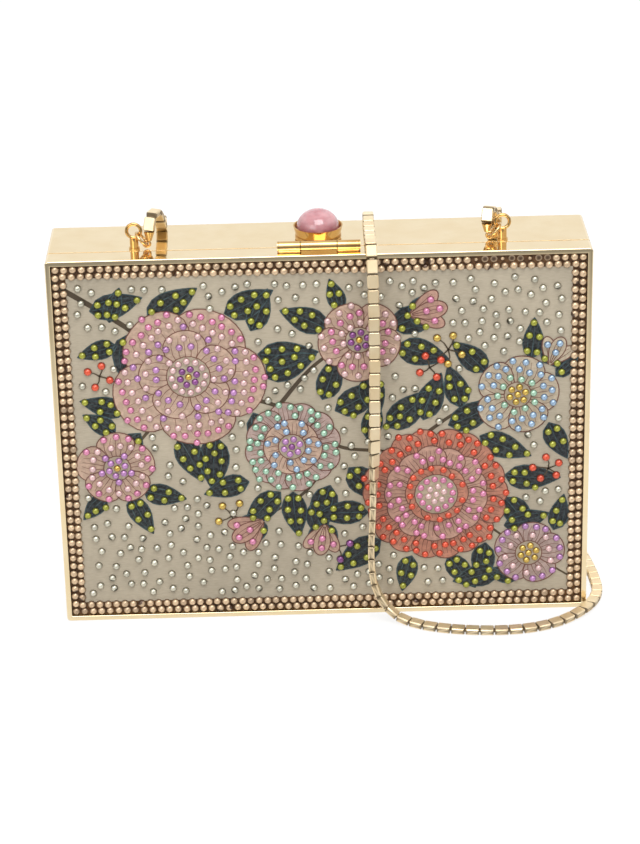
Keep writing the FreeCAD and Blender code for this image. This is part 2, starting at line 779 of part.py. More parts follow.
def write_parts():
    os.makedirs("parts", exist_ok=True)
    for item in subparts:
        item.Shape.exportStep(f"parts/{item.Label}.step")
        print(item.Label, "solids", len(item.Shape.Solids), "volume", round(item.Shape.Volume, 1))


make_frames()
make_panels()
make_linings()
make_closing_lip()
make_hinge()
make_clasp_knuckles()
make_clasp_pin()
make_clasp_lever()
make_setting()
make_stone()
make_catch()
make_posts()
make_chain()
document.recompute()
check_document()
write_parts()
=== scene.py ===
"""A hinged evening box bag: studded satin boards, gilt frame, stone clasp and brick-link chain."""

import logging
import math
import random
from bisect import bisect_right
from dataclasses import dataclass, field
from enum import Enum
from typing import Callable, Optional, Sequence

import bpy
from mathutils import Matrix, Vector


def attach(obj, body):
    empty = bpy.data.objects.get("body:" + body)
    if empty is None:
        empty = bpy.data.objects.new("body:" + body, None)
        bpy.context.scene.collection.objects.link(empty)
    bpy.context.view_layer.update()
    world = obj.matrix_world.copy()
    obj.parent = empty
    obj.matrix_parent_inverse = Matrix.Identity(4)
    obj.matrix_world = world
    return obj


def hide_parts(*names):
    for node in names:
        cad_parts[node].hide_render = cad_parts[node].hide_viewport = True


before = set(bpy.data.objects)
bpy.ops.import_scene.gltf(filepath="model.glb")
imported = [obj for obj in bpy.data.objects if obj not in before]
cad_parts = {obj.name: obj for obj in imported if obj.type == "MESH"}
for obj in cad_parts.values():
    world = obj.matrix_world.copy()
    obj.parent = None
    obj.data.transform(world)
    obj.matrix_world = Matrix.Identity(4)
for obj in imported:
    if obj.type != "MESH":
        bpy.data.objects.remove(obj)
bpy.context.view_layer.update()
MM = 0.001
SEED = 41
log = logging.getLogger("box_bag")

Colour = tuple[float, float, float]
Place = tuple[float, float, float]
Limits = tuple[float, float]
Spot = tuple[float, float]
Face = tuple[int, ...]
Socket = bpy.types.NodeSocket

WHITE = (1.0, 1.0, 1.0)
MIX_FIRST, MIX_SECOND, MIX_RESULT = 6, 7, 2


def srgb(red: int, green: int, blue: int) -> Colour:
    """A colour as it is seen on a screen, as linear values.

    Args:
        red, green, blue: levels from 0 to 255.

    Returns:
        The three linear values from 0 to 1.
    """
    def linear(level: int) -> float:
        """One level as a linear value."""
        share = level / 255
        return share / 12.92 if share <= 0.04045 else ((share + 0.055) / 1.055) ** 2.4
    return linear(red), linear(green), linear(blue)


def scaled(colour: Colour, share: float) -> Colour:
    """The colour made darker or lighter by one share."""
    return tuple(min(1.0, level * share) for level in colour)


def smooth_step(low: float, high: float, value: float) -> float:
    """A smooth rise from 0 at low to 1 at high, read at a value."""
    share = min(1.0, max(0.0, (value - low) / (high - low)))
    return share * share * (3 - 2 * share)


def spot_round(middle: Spot, reach: float, angle: float) -> Spot:
    """The spot that far from another, at an angle in radians."""
    return middle[0] + reach * math.cos(angle), middle[1] + reach * math.sin(angle)


class NodeBoard:
    """A tree of shading nodes, with short ways to add and join them."""

    def __init__(self, tree: bpy.types.NodeTree) -> None:
        """Takes the tree that the nodes go into."""
        self.tree = tree

    def add(self, kind: str, **settings) -> bpy.types.Node:
        """Adds a node.

        Args:
            kind: Blender's name for the node's type.
            settings: its properties.

        Returns:
            The node.
        """
        node = self.tree.nodes.new(kind)
        for key, value in settings.items():
            setattr(node, key, value)
        return node

    def join(self, source: Socket, target: Socket) -> None:
        """Links one socket to another."""
        self.tree.links.new(source, target)

    def range(self, source: Socket, low: float, high: float, first: float, last: float) -> Socket:
        """Turns one range of values into another.

        Args:
            source: the socket with the value.
            low, high: the range that is read.
            first, last: the range that is given.

        Returns:
            The socket with the new value.
        """
        node = self.add("ShaderNodeMapRange")
        names = ("From Min", "From Max", "To Min", "To Max")
        for name, value in zip(names, (low, high, first, last)):
            node.inputs[name].default_value = value
        self.join(source, node.inputs["Value"])
        return node.outputs["Result"]

    def combined(self, operation: str, *sources: Socket) -> Socket:
        """Values put through one sum.

        Args:
            operation: Blender's name for the sum.
            sources: the sockets with the values.

        Returns:
            The socket with the outcome.
        """
        node = self.add("ShaderNodeMath", operation=operation)
        for source, target in zip(sources, node.inputs):
            self.join(source, target)
        return node.outputs[0]

    def mixed(self, share: Socket, first: Socket, second: Socket) -> Socket:
        """Two shaders mixed.

        Args:
            share: the socket with the second one's share.
            first, second: the shaders' sockets.

        Returns:
            The mixed shader's socket.
        """
        node = self.add("ShaderNodeMixShader")
        for source, target in zip((share, first, second), node.inputs):
            self.join(source, target)
        return node.outputs[0]

    def ray(self, kind: str) -> Socket:
        """1 for rays of a kind, by the name of the light path's socket."""
        return self.add("ShaderNodeLightPath").outputs[kind]

    def seen(self) -> Socket:
        """1 for rays from the camera, a polished surface or glass."""
        near = self.combined("MAXIMUM", self.ray("Is Camera Ray"), self.ray("Is Glossy Ray"))
        return self.combined("MAXIMUM", near, self.ray("Is Transmission Ray"))


class MaterialBoard(NodeBoard):
    """A new material's nodes, round its one shader."""

    def __init__(self, name: str) -> None:
        """Makes the material, with its shader ready to set."""
        self.material = bpy.data.materials.new(name)
        self.material.use_nodes = True
        super().__init__(self.material.node_tree)
        self.shader = self.tree.nodes["Principled BSDF"]

    def fix(self, **values) -> None:
        """Sets the shader's own sockets, each named with _ for a space."""
        for key, value in values.items():
            self.shader.inputs[key.replace("_", " ")].default_value = value

    def feed(self, **sources: Socket) -> None:
        """Joins sockets to the shader's own, each named with _ for a space."""
        for key, source in sources.items():
            self.join(source, self.shader.inputs[key.replace("_", " ")])

    def places(self, stretch: Place = (1.0, 1.0, 1.0)) -> Socket:
        """The piece's own coordinates in metres, stretched along its axes."""
        mapping = self.add("ShaderNodeMapping")
        mapping.inputs["Scale"].default_value = stretch
        self.join(self.add("ShaderNodeTexCoord").outputs["Object"], mapping.inputs["Vector"])
        return mapping.outputs["Vector"]

    def noise(self, size: float, stretch: Place = (1.0, 1.0, 1.0), detail: float = 3) -> Socket:
        """Soft random patches.

        Args:
            size: how wide a patch is, in metres.
            stretch: how much finer the patches are along each axis.
            detail: how many finer layers are added.

        Returns:
            The socket with the pattern's value.
        """
        node = self.add("ShaderNodeTexNoise")
        node.inputs["Scale"].default_value = 1 / size
        node.inputs["Detail"].default_value = detail
        self.join(self.places(stretch), node.inputs["Vector"])
        return node.outputs["Fac"]

    def ramp(self, source: Socket, low: float, high: float, first: Colour, last: Colour) -> Socket:
        """Turns a value into a colour between two.

        Args:
            source: the socket with the value.
            low, high: the values that give the first and the last colour.
            first, last: the two colours.

        Returns:
            The socket with the colour.
        """
        node = self.add("ShaderNodeValToRGB")
        for end, place, colour in zip(node.color_ramp.elements, (low, high), (first, last)):
            end.position, end.color = place, (*colour, 1)
        self.join(source, node.inputs["Fac"])
        return node.outputs["Color"]

    def darkened(self, colour: Socket, source: Socket, low: float, high: float, dark: Colour) -> Socket:
        """A colour made darker where a value is low.

        Args:
            colour: the socket with the colour.
            source: the socket with the value.
            low, high: the values at which it is darkest and as it was.
            dark: what the darkest is multiplied by.

        Returns:
            The socket with the new colour.
        """
        node = self.add("ShaderNodeMix", data_type="RGBA", blend_type="MULTIPLY")
        node.inputs["Factor"].default_value = 1
        self.join(colour, node.inputs[MIX_FIRST])
        self.join(self.ramp(source, low, high, dark, WHITE), node.inputs[MIX_SECOND])
        return node.outputs[MIX_RESULT]

    def tone(self) -> Socket:
        """The shade kept at each point of a piece, 1 where it is clean and lit."""
        return self.add("ShaderNodeAttribute", attribute_name="tone").outputs["Fac"]

    def bump(self, height: Socket, depth: float, below: Optional[Socket] = None) -> Socket:
        """Fine relief.

        Args:
            height: the socket with the relief's height from 0 to 1.
            depth: the relief's depth in metres.
            below: relief that this one lies on.

        Returns:
            The socket with the normal.
        """
        node = self.add("ShaderNodeBump")
        node.inputs["Strength"].default_value = 1
        node.inputs["Distance"].default_value = depth
        self.join(height, node.inputs["Height"])
        if below is not None:
            self.join(below, node.inputs["Normal"])
        return node.outputs["Normal"]


class Finish:
    """A finish that makes its material once, by name."""

    name: str

    def nodes(self, board: MaterialBoard) -> None:
        """Sets up the material's nodes."""
        raise NotImplementedError

    def material(self) -> bpy.types.Material:
        """The finish's material, made at its first use."""
        found = bpy.data.materials.get(self.name)
        if found is None:
            board = MaterialBoard(self.name)
            self.nodes(board)
            found = board.material
        return found


@dataclass(frozen=True)
class GiltMetal(Finish):
    """Plated metal, polished, with faint rubbing marks and handling haze."""

    name: str
    bright: Colour
    deep: Colour
    smooth: float = 0.08
    hazy: float = 0.2
    marks: Place = (0.08, 1.0, 1.0)
    toned: bool = False
    metal: float = 1.0
    drift: float = 9 * MM
    streak: float = 0.35 * MM
    scratch: float = 0.0006 * MM
    tone_and_painted_shade: Colour = (0.05, 0.03, 0.015)

    def nodes(self, board: MaterialBoard) -> None:
        """Drift of colour, streaked haze, very shallow rubbing marks and, where toned, painted shade.
        """
        board.fix(Metallic=self.metal)
        colour = board.ramp(board.noise(self.drift), 0.3, 0.7, self.deep, self.bright)
        # Where toned, each corner's tone darkens the colour: a random shade, and painted shade in the
        # sunk windows, at link ends and on the bars between links.
        if self.toned:
            colour = board.darkened(colour, board.tone(), 0, 1, self.tone_and_painted_shade)
        streaks = board.noise(self.streak, self.marks, 4)
        board.feed(Base_Color=colour, Normal=board.bump(streaks, self.scratch),
                   Roughness=board.range(streaks, 0.3, 0.75, self.smooth, self.hazy))


@dataclass(frozen=True)
class Satin(Finish):
    """Heavy satin: floats of thread across, faint slubs and worn, greyer patches."""

    name: str
    light: Colour
    dull: Colour
    thread: float = 0.22 * MM
    sheen: float = 0.25
    toned: bool = False
    blot: float = 0.0
    blot_size: float = 1.3 * MM
    patch: float = 28 * MM
    along: Place = (0.12, 1.0, 1.0)
    between: Colour = (0.84, 0.83, 0.81)
    print_and_painted_shade: Colour = (0.12, 0.1, 0.1)
    roughness: Limits = (0.48, 0.66)
    float_depth: float = 0.02 * MM
    weave_depth: float = 0.012 * MM
    weave_pitch: float = 0.05
    weave_stray: float = 1.2

    def nodes(self, board: MaterialBoard) -> None:
        """Colour from patches, threads and blots of ink, relief from the weave."""
        board.fix(Sheen_Weight=self.sheen, Sheen_Roughness=0.4, Specular_IOR_Level=0.35)
        colour = board.ramp(board.noise(self.patch, detail=4), 0.32, 0.68, self.dull, self.light)
        floats = board.noise(self.thread, self.along, 2)
        colour = board.darkened(colour, floats, 0.25, 0.75, self.between)
        if self.blot:
            thin = scaled(WHITE, 1 - self.blot)
            colour = board.darkened(colour, board.noise(self.blot_size), 0.38, 0.62, thin)
        # Where toned, each corner's tone darkens the colour: print shading on petals and hearts, and
        # painted shade at the border band's outer edge.
        if self.toned:
            colour = board.darkened(colour, board.tone(), 0, 1, self.print_and_painted_shade)
        weave = board.add("ShaderNodeTexWave", wave_type="BANDS", bands_direction="Z",
                          wave_profile="SIN")
        weave.inputs["Scale"].default_value = self.weave_pitch / self.thread
        weave.inputs["Distortion"].default_value = self.weave_stray
        weave.inputs["Detail"].default_value = 1
        board.join(board.places(), weave.inputs["Vector"])
        relief = board.bump(floats, self.float_depth)
        relief = board.bump(weave.outputs["Fac"], self.weave_depth, relief)
        board.feed(Base_Color=colour, Normal=relief,
                   Roughness=board.range(floats, 0.3, 0.7, *self.roughness))


@dataclass(frozen=True)
class Lacquer(Finish):
    """A pressed stud: lacquered or plated, paler on top and darker round its foot by painted shade."""

    name: str
    colour: Colour
    metal: float = 0.35
    smooth: float = 0.2
    # Painted shade at the stud's foot; bared chips take this colour too.
    foot: Colour = (0.05, 0.04, 0.03)
    worn: float = 0.8
    wear_size: float = 2.4 * MM
    scuff_size: float = 0.3 * MM
    scuff_depth: float = 0.004 * MM
    scuffed: float = 0.16

    def nodes(self, board: MaterialBoard) -> None:
        """Colour from the stud's painted shade, darkest round its foot, and from wear, under a clear
        coat.
        """
        board.fix(Metallic=self.metal, Coat_Weight=0.5, Coat_Roughness=0.12)
        worn = scaled(self.colour, self.worn)
        wear = board.ramp(board.noise(self.wear_size), 0.35, 0.65, worn, self.colour)
        scuffs = board.noise(self.scuff_size)
        board.feed(Base_Color=board.darkened(wear, board.tone(), 0.05, 0.95, self.foot),
                   Roughness=board.range(scuffs, 0.3, 0.7, self.smooth, self.smooth + self.scuffed),
                   Normal=board.bump(scuffs, self.scuff_depth))


@dataclass(frozen=True)
class MilkStone(Finish):
    """A polished milky stone with soft clouds inside."""

    name: str
    clear: Colour
    cloud: Colour
    cloud_size: float = 5 * MM
    layers: Place = (1.0, 1.0, 1.8)
    polish_size: float = 1.2 * MM
    polish: Limits = (0.06, 0.12)

    def nodes(self, board: MaterialBoard) -> None:
        """Clouded colour that light soaks into, under a high polish."""
        board.fix(Subsurface_Weight=0.55, Subsurface_Scale=3.0 * MM, Subsurface_Radius=(1.0, 0.5, 0.5),
                  Coat_Weight=0.7, Coat_Roughness=0.02, IOR=1.54)
        clouds = board.noise(self.cloud_size, self.layers)
        board.feed(Base_Color=board.ramp(clouds, 0.36, 0.66, self.clear, self.cloud),
                   Roughness=board.range(board.noise(self.polish_size), 0.3, 0.7, *self.polish))


@dataclass(frozen=True)
class FoilLeather(Finish):
    """Thin foiled leather with a fine pebble grain."""

    name: str
    ridge: Colour
    valley: Colour
    foil: float = 0.55
    pebble: float = 0.9 * MM
    pebble_depth: float = 0.05 * MM
    patch: float = 22 * MM
    dull: Colour = (0.8, 0.78, 0.74)
    roughness: Limits = (0.6, 0.4)

    def nodes(self, board: MaterialBoard) -> None:
        """Pebbles from cells, paler on their tops."""
        board.fix(Metallic=self.foil)
        cells = board.add("ShaderNodeTexVoronoi", feature="DISTANCE_TO_EDGE")
        cells.inputs["Scale"].default_value = 1 / self.pebble
        board.join(board.places(), cells.inputs["Vector"])
        pebbles = board.range(cells.outputs["Distance"], 0.0, 0.3, 0.0, 1.0)
        colour = board.ramp(pebbles, 0.0, 0.8, self.valley, self.ridge)
        board.feed(Base_Color=board.darkened(colour, board.noise(self.patch), 0.3, 0.7, self.dull),
                   Roughness=board.range(pebbles, 0, 1, *self.roughness),
                   Normal=board.bump(pebbles, self.pebble_depth))


CHAMPAGNE = GiltMetal("champagne_plate", srgb(244, 225, 186), srgb(239, 217, 174), 0.05, 0.12)
YELLOW_GILT = GiltMetal("yellow_gilt", srgb(226, 190, 132), srgb(202, 158, 92), 0.09, 0.18)
CHAIN_GILT = GiltMetal("chain_gilt", srgb(250, 231, 194), srgb(242, 216, 170), 0.3, 0.42, toned=True,
                       metal=0.6)
RING_GILT = GiltMetal("ring_gilt", srgb(226, 196, 144), srgb(206, 166, 106), 0.1, 0.2)
# Painted shade: dark metal that stands for the shade in the clasp barrel's splits.
GAP_SHADE_METAL = GiltMetal("gap_shade_metal", srgb(84, 56, 30), srgb(60, 40, 22), 0.4, 0.55)
SPRING_STEEL = GiltMetal("spring_steel", srgb(200, 200, 202), srgb(176, 176, 180), 0.18, 0.34,
                         (1.0, 1.0, 0.08))
GROUND_SATIN = Satin("ground_satin", srgb(196, 184, 162), srgb(181, 170, 150))
ROSE_STONE = MilkStone("rose_stone", srgb(178, 112, 120), srgb(208, 156, 160))
POCKET_LEATHER = FoilLeather("pocket_leather", srgb(206, 170, 108), srgb(150, 114, 64))
THREAD = Satin("pale_thread", srgb(222, 202, 158), srgb(206, 184, 138), 0.12 * MM, 0.1)
GOLD_LEATHER = FoilLeather("gold_leather", srgb(232, 210, 160), srgb(190, 160, 106))


class Ink(Enum):
    """The print's colours, all on the same satin."""

    # The border band's colour: partly the border's own, partly painted shade between the border studs.
    BORDER = Satin("ink_border_and_shade", srgb(134, 94, 56), srgb(96, 65, 40), sheen=0.05, toned=True, blot=0.4)
    LEAF = Satin("ink_leaf", srgb(72, 78, 78), srgb(56, 60, 64), sheen=0.08, toned=True,
                 blot=0.78, blot_size=0.8 * MM)
    VEIN = Satin("ink_vein", srgb(82, 104, 106), srgb(66, 88, 94), sheen=0.08, toned=True,
                 blot=0.5, blot_size=0.9 * MM)
    STEM = Satin("ink_stem", srgb(92, 78, 58), srgb(74, 62, 48), sheen=0.08, toned=True)
    LINE = Satin("ink_line", srgb(126, 84, 70), srgb(104, 66, 56), sheen=0.05, toned=True)
    BLUSH = Satin("ink_blush", srgb(216, 186, 164), srgb(204, 170, 148), toned=True, blot=0.2)
    ROSE = Satin("ink_rose", srgb(208, 168, 148), srgb(196, 152, 134), toned=True, blot=0.2)
    CORAL = Satin("ink_coral", srgb(208, 148, 124), srgb(198, 132, 108), toned=True, blot=0.22)
    LILAC = Satin("ink_lilac", srgb(204, 180, 170), srgb(192, 164, 156), toned=True, blot=0.2)
    CREAM = Satin("ink_cream", srgb(216, 200, 176), srgb(204, 186, 160), toned=True, blot=0.2)


class Stud(Enum):
    """The studs' colours."""

    # Each stud's last colour is the painted shade round its foot.
    BEIGE = Lacquer("stud_beige", srgb(234, 203, 165), 0.45, 0.24, srgb(74, 48, 26))
    SILVER = Lacquer("stud_silver", srgb(228, 224, 204), 0.75, 0.24, srgb(80, 76, 62))
    LIME = Lacquer("stud_lime", srgb(176, 178, 58), 0.3, 0.2, srgb(30, 34, 16))
    PINK = Lacquer("stud_pink", srgb(236, 150, 186), 0.3, 0.18, srgb(90, 40, 60))
    LILAC = Lacquer("stud_lilac", srgb(206, 150, 206), 0.3, 0.18, srgb(76, 44, 80))
    PALE = Lacquer("stud_pale", srgb(244, 206, 204), 0.3, 0.2, srgb(110, 66, 62))
    CORAL = Lacquer("stud_coral", srgb(240, 92, 58), 0.25, 0.2, srgb(96, 24, 14))
    BLUE = Lacquer("stud_blue", srgb(176, 204, 232), 0.4, 0.18, srgb(52, 66, 88))
    MINT = Lacquer("stud_mint", srgb(184, 224, 196), 0.4, 0.18, srgb(54, 80, 66))
    GOLD = Lacquer("stud_gold", srgb(226, 190, 92), 0.7, 0.2, srgb(80, 54, 18))
    PURPLE = Lacquer("stud_purple", srgb(150, 84, 150), 0.35, 0.18, srgb(48, 22, 50))


class MeshBuffer:
    """Points, faces and shades gathered into one piece."""

    def __init__(self) -> None:
        """Starts empty."""
        self.points: list[Vector] = []
        self.faces: list[Face] = []
        self.tones: list[float] = []

    def add(self, points: Sequence[Vector], faces: Sequence[Face], tones: Sequence[float]) -> None:
        """Adds a shape.

        Args:
            points: its corners, in metres.
            faces: its faces, as numbers of those corners.
            tones: a shade for each corner.
        """
        first = len(self.points)
        self.points.extend(points)
        self.faces.extend(tuple(first + corner for corner in face) for face in faces)
        self.tones.extend(tones)

    def piece(self, name: str, finish: Finish, body: str, slot: str,
              sharp: float = 40) -> bpy.types.Object:
        """Makes the piece and sets it on its body.

        Args:
            name: the piece's name.
            finish: what covers it.
            body: the body that it moves with.
            slot: not used.
            sharp: the angle in degrees above which an edge stays crisp.

        Returns:
            The piece.
        """
        mesh = bpy.data.meshes.new(name)
        mesh.from_pydata([tuple(point) for point in self.points], [], self.faces)
        mesh.attributes.new("tone", "FLOAT", "POINT").data.foreach_set("value", self.tones)
        mesh.shade_smooth()
        mesh.set_sharp_from_angle(angle=math.radians(sharp))
        mesh.materials.append(finish.material())
        made = bpy.data.objects.new(name, mesh)
        bpy.context.scene.collection.objects.link(made)
        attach(made, body)
        log.info("%s: %d faces on %s", name, len(self.faces), body)
        return made


def band_faces(rings: int, sides: int, inward: bool = False, closed: bool = False) -> list[Face]:
    """Faces between rings of points that follow each other.

    Args:
        rings: how many rings there are.
        sides: how many points each ring has.
        inward: whether the faces are turned over.
        closed: whether the last ring is joined to the first.

    Returns:
        The faces, as numbers of the points.
    """
    faces = []
    for ring in range(rings if closed else rings - 1):
        near, far = ring * sides, (ring + 1) % rings * sides
        for step in range(sides):
            after = (step + 1) % sides
            if inward:
                faces.append((near + step, far + step, far + after, near + after))
            else:
                faces.append((near + step, near + after, far + after, far + step))
    return faces


@dataclass
class Course:
    """A line through points, read by the distance along it."""

    points: list[Vector]

    def __post_init__(self) -> None:
        """Notes how far along each point is."""
        self.reach = [0.0]
        for first, last in zip(self.points, self.points[1:]):
            self.reach.append(self.reach[-1] + (last - first).length)

    def stretch(self, distance: float) -> tuple[Vector, Vector, float]:
        """The stretch of the line that holds a distance.

        Args:
            distance: how far along, kept within the line.

        Returns:
            Its two points, and the share of the way between them.
        """
        distance = min(max(distance, 0.0), self.reach[-1])
        end = min(max(bisect_right(self.reach, distance), 1), len(self.reach) - 1)
        run = max(self.reach[end] - self.reach[end - 1], 1e-9)
        return self.points[end - 1], self.points[end], (distance - self.reach[end - 1]) / run

    def at(self, distance: float) -> Vector:
        """The point that far along the line."""
        first, last, share = self.stretch(distance)
        return first.lerp(last, share)


def dress(finish: Finish, *nodes: str) -> None:
    """Covers nodes of the frame with a finish.

    Args:
        finish: what covers them.
        nodes: their names.
    """
    for name in nodes:
        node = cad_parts[name]
        if not node.material_slots:
            node.data.materials.append(None)
        for slot in node.material_slots:
            slot.material = finish.material()
        log.info("%s: %s", name, finish.name)


WELD = 0.001 * MM
FLAT_TURN = math.radians(0.5)
CRISP_TURN = math.radians(50)


def ease(width: float, *nodes: str) -> None:
    """Eases the crisp edges of nodes of the frame, with a modifier.

    Args:
        width: the eased edge's width in metres.
        nodes: their names.
    """
    for name in nodes:
        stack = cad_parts[name].modifiers
        stack.new("joined_faces", "WELD").merge_threshold = WELD
        joined = stack.new("whole_faces", "DECIMATE")
        joined.decimate_type, joined.angle_limit = "DISSOLVE", FLAT_TURN
        eased = stack.new("eased_edges", "BEVEL")
        eased.width, eased.segments = width, 2
        eased.limit_method, eased.angle_limit = "ANGLE", CRISP_TURN
        stack.new("even_shading", "WEIGHTED_NORMAL").weight = 100


@dataclass
class Softbox:
    """A soft studio lamp aimed at the bag."""

    name: str
    place: Place
    size: tuple[float, float]
    watts: float
    aim: Place = (0.0, 0.0, 0.06)
    mirrored: bool = True

    def build(self) -> None:
        """Hangs the lamp."""
        lamp = bpy.data.lights.new(self.name, "AREA")
        lamp.shape, lamp.energy = "RECTANGLE", self.watts
        lamp.size, lamp.size_y = self.size
        holder = bpy.data.objects.new(self.name, lamp)
        holder.location = self.place
        beam = Vector(self.aim) - Vector(self.place)
        holder.rotation_euler = beam.to_track_quat("-Z", "Y").to_euler()
        holder.visible_camera = False
        holder.visible_glossy = self.mirrored
        bpy.context.scene.collection.objects.link(holder)


@dataclass
class Studio:
    """The pale floor, the soft light and the camera."""

    eye: Place = (-0.00917, -0.79666, 0.40985)
    right: Place = (0.99960, -0.01956, -0.02046)
    down: Place = (-0.02658, -0.40001, -0.91613)
    ahead: Place = (0.00974, 0.91630, -0.40037)
    lens: float = 114.46
    sensor: float = 36.0
    clip: Limits = (0.01, 50.0)
    floor_half: float = 6.0
    floor_grey: float = 0.86
    floor_glow: float = 0.75
    floor_fade: Limits = (-0.34, -0.12)
    front_room: float = 0.32
    back_room: float = 1.1
    room_turn: Limits = (-0.7, 0.15)
    flag: float = 0.45
    flag_turn: Limits = (0.72, 0.9)
    high_room: float = 1.0
    dim_height: Limits = (0.12, 0.34)
    sky: float = 0.31
    lamps: tuple[Softbox, ...] = (
        Softbox("key_box", (0.1, -0.62, 1.2), (0.95, 0.75), 11.5),
        Softbox("fill_box", (-0.75, -1.25, 0.7), (0.8, 0.8), 4.5),
        Softbox("back_box", (0.1, 0.75, 1.2), (0.9, 0.6), 12.0, mirrored=False),
    )

    def build(self) -> None:
        """Sets the whole studio up."""
        self.build_floor()
        self.build_world()
        self.build_camera()
        for lamp in self.lamps:
            lamp.build()
        bpy.context.scene.view_settings.view_transform = "Standard"

    def build_floor(self) -> None:
        """A white, frosted floor with light shadows, that ends in the dim room in front.

        What swings below it is seen through it, lit as the rest is.
        """
        half = self.floor_half
        corners = [(-half, -half, 0), (half, -half, 0), (half, half, 0), (-half, half, 0)]
        mesh = bpy.data.meshes.new("studio_floor")
        mesh.from_pydata(corners, [], [(0, 1, 2, 3)])
        floor = bpy.data.objects.new("studio_floor", mesh)
        bpy.context.scene.collection.objects.link(floor)
        board = MaterialBoard("floor_white")
        white = (*scaled(WHITE, self.floor_grey), 1)
        board.fix(Base_Color=white, Roughness=0.9, Specular_IOR_Level=0.1)
        parts = board.add("ShaderNodeSeparateXYZ")
        board.join(board.places(), parts.inputs[0])
        front = board.range(parts.outputs["Y"], *self.floor_fade, 1.0, 0.0)
        far = board.combined("MULTIPLY", front, board.ray("Is Glossy Ray"))
        glow = board.add("ShaderNodeEmission")
        board.join(board.range(far, 0, 1, 1.0, self.front_room), glow.inputs["Strength"])
        seen = board.combined("MULTIPLY", board.seen(), board.range(far, 0, 1, self.floor_glow, 1.0))
        clear = board.add("ShaderNodeBsdfTransparent").outputs[0]
        shown = board.mixed(board.ray("Is Camera Ray"), glow.outputs[0], clear)
        above = board.mixed(seen, board.shader.outputs[0], shown)
        below = board.add("ShaderNodeNewGeometry").outputs["Backfacing"]
        surface = board.tree.nodes["Material Output"].inputs["Surface"]
        board.join(board.mixed(below, above, clear), surface)
        mesh.materials.append(board.material)

    def build_world(self) -> None:
        """White all round where it is seen, dimmer towards the room in front, and an even dim light."""
        world = bpy.data.worlds.new("studio_white")
        bpy.context.scene.world = world
        world.use_nodes = True
        board = NodeBoard(world.node_tree)
        parts = board.add("ShaderNodeSeparateXYZ")
        board.join(board.add("ShaderNodeTexCoord").outputs["Generated"], parts.inputs[0])
        room = board.range(parts.outputs["Y"], *self.room_turn, self.front_room, self.back_room)
        aside = board.combined("ABSOLUTE", parts.outputs["X"])
        dimmed = board.combined("MULTIPLY", room, board.range(aside, *self.flag_turn, 1.0, self.flag))
        lifted = board.add("ShaderNodeMix")
        board.join(board.range(parts.outputs["Z"], *self.dim_height, 0.0, 1.0), lifted.inputs["Factor"])
        board.join(dimmed, lifted.inputs["A"])
        lifted.inputs["B"].default_value = self.high_room
        direct = board.combined("MAXIMUM", board.ray("Is Camera Ray"), lifted.outputs["Result"])
        even = board.tree.nodes["Background"]
        shown = board.add("ShaderNodeBackground")
        for light in (even, shown):
            light.inputs["Color"].default_value = (*WHITE, 1)
        even.inputs["Strength"].default_value = self.sky
        board.join(direct, shown.inputs["Strength"])
        surface = board.tree.nodes["World Output"].inputs["Surface"]
        board.join(board.mixed(board.seen(), even.outputs[0], shown.outputs[0]), surface)

    def build_camera(self) -> None:
        """The camera where the photograph was taken."""
        lens = bpy.data.cameras.new("camera")
        lens.lens, lens.sensor_width = self.lens, self.sensor
        lens.clip_start, lens.clip_end = self.clip
        camera = bpy.data.objects.new("camera", lens)
        bpy.context.scene.collection.objects.link(camera)
        turn = Matrix((self.right, -Vector(self.down), -Vector(self.ahead))).transposed()
        camera.matrix_world = Matrix.Translation(self.eye) @ turn.to_4x4()
        bpy.context.scene.camera = camera


CHAIN_ROUTE = (
    (-52.7, -5.4, 130.4), (-52.5, -5.0, 133.4), (-51.4, -2.2, 135.4), (-50.2, 1.8, 134.0),
    (-49.5, 5.6, 128.8), (-49.5, 11.4, 126.3), (-50.0, 18.4, 126.9), (-50.3, 21.6, 122.4),
    (-50.5, 23.4, 115.8), (-50.7, 22.4, 100.0), (-51.0, 21.6, 74.0), (-50.6, 21.8, 44.0),
    (-49.4, 23.2, 22.0), (-47.2, 27.2, 9.0), (-44.4, 34.4, 2.4), (-40.4, 43.4, 1.15),
    (-33.0, 54.6, 1.15), (-20.6, 62.0, 1.15), (-6.6, 61.4, 1.15), (5.0, 53.4, 1.15),
    (11.8, 42.0, 1.3), (15.0, 32.4, 5.0), (16.6, 25.6, 17.0), (16.8, 22.4, 40.0),
    (16.9, 21.8, 80.0), (16.6, 22.0, 108.4), (16.4, 21.2, 120.6), (16.3, 18.2, 127.0),
    (16.2, 6.0, 126.35), (16.1, -5.6, 126.45), (16.1, -16.2, 127.8), (16.3, -20.6, 121.6),
    (16.5, -21.9, 110.4), (16.6, -21.6, 92.0), (16.3, -21.5, 66.0), (15.4, -21.4, 40.0),
    (14.4, -20.9, 22.0), (15.8, -20.9, 10.4), (21.6, -22.4, 2.4), (29.0, -26.9, 1.15),
    (38.4, -30.6, 1.15), (52.0, -32.8, 1.15), (65.4, -32.2, 1.3), (76.2, -27.6, 1.35),
    (85.1, -20.3, 2.25), (89.8, -9.4, 1.7), (89.8, 2.5, 1.25), (88.8, 13.8, 1.15),
    (86.8, 26.4, 1.15), (84.4, 38.8, 1.15), (80.8, 48.4, 1.15), (73.6, 54.4, 1.15),
    (64.6, 53.8, 1.15), (58.6, 47.0, 1.15), (57.2, 38.0, 2.8), (57.6, 29.8, 9.6),
    (58.6, 24.2, 24.0), (58.7, 22.2, 46.0), (58.4, 21.6, 80.0), (58.2, 22.2, 107.0),
    (58.0, 21.6, 120.4), (57.6, 18.4, 126.9), (56.8, 11.4, 126.3), (55.6, 5.6, 128.8),
    (54.6, 1.6, 132.4), (53.3, -2.4, 133.9), (52.7, -5.2, 132.6), (52.7, -5.4, 130.4),
)


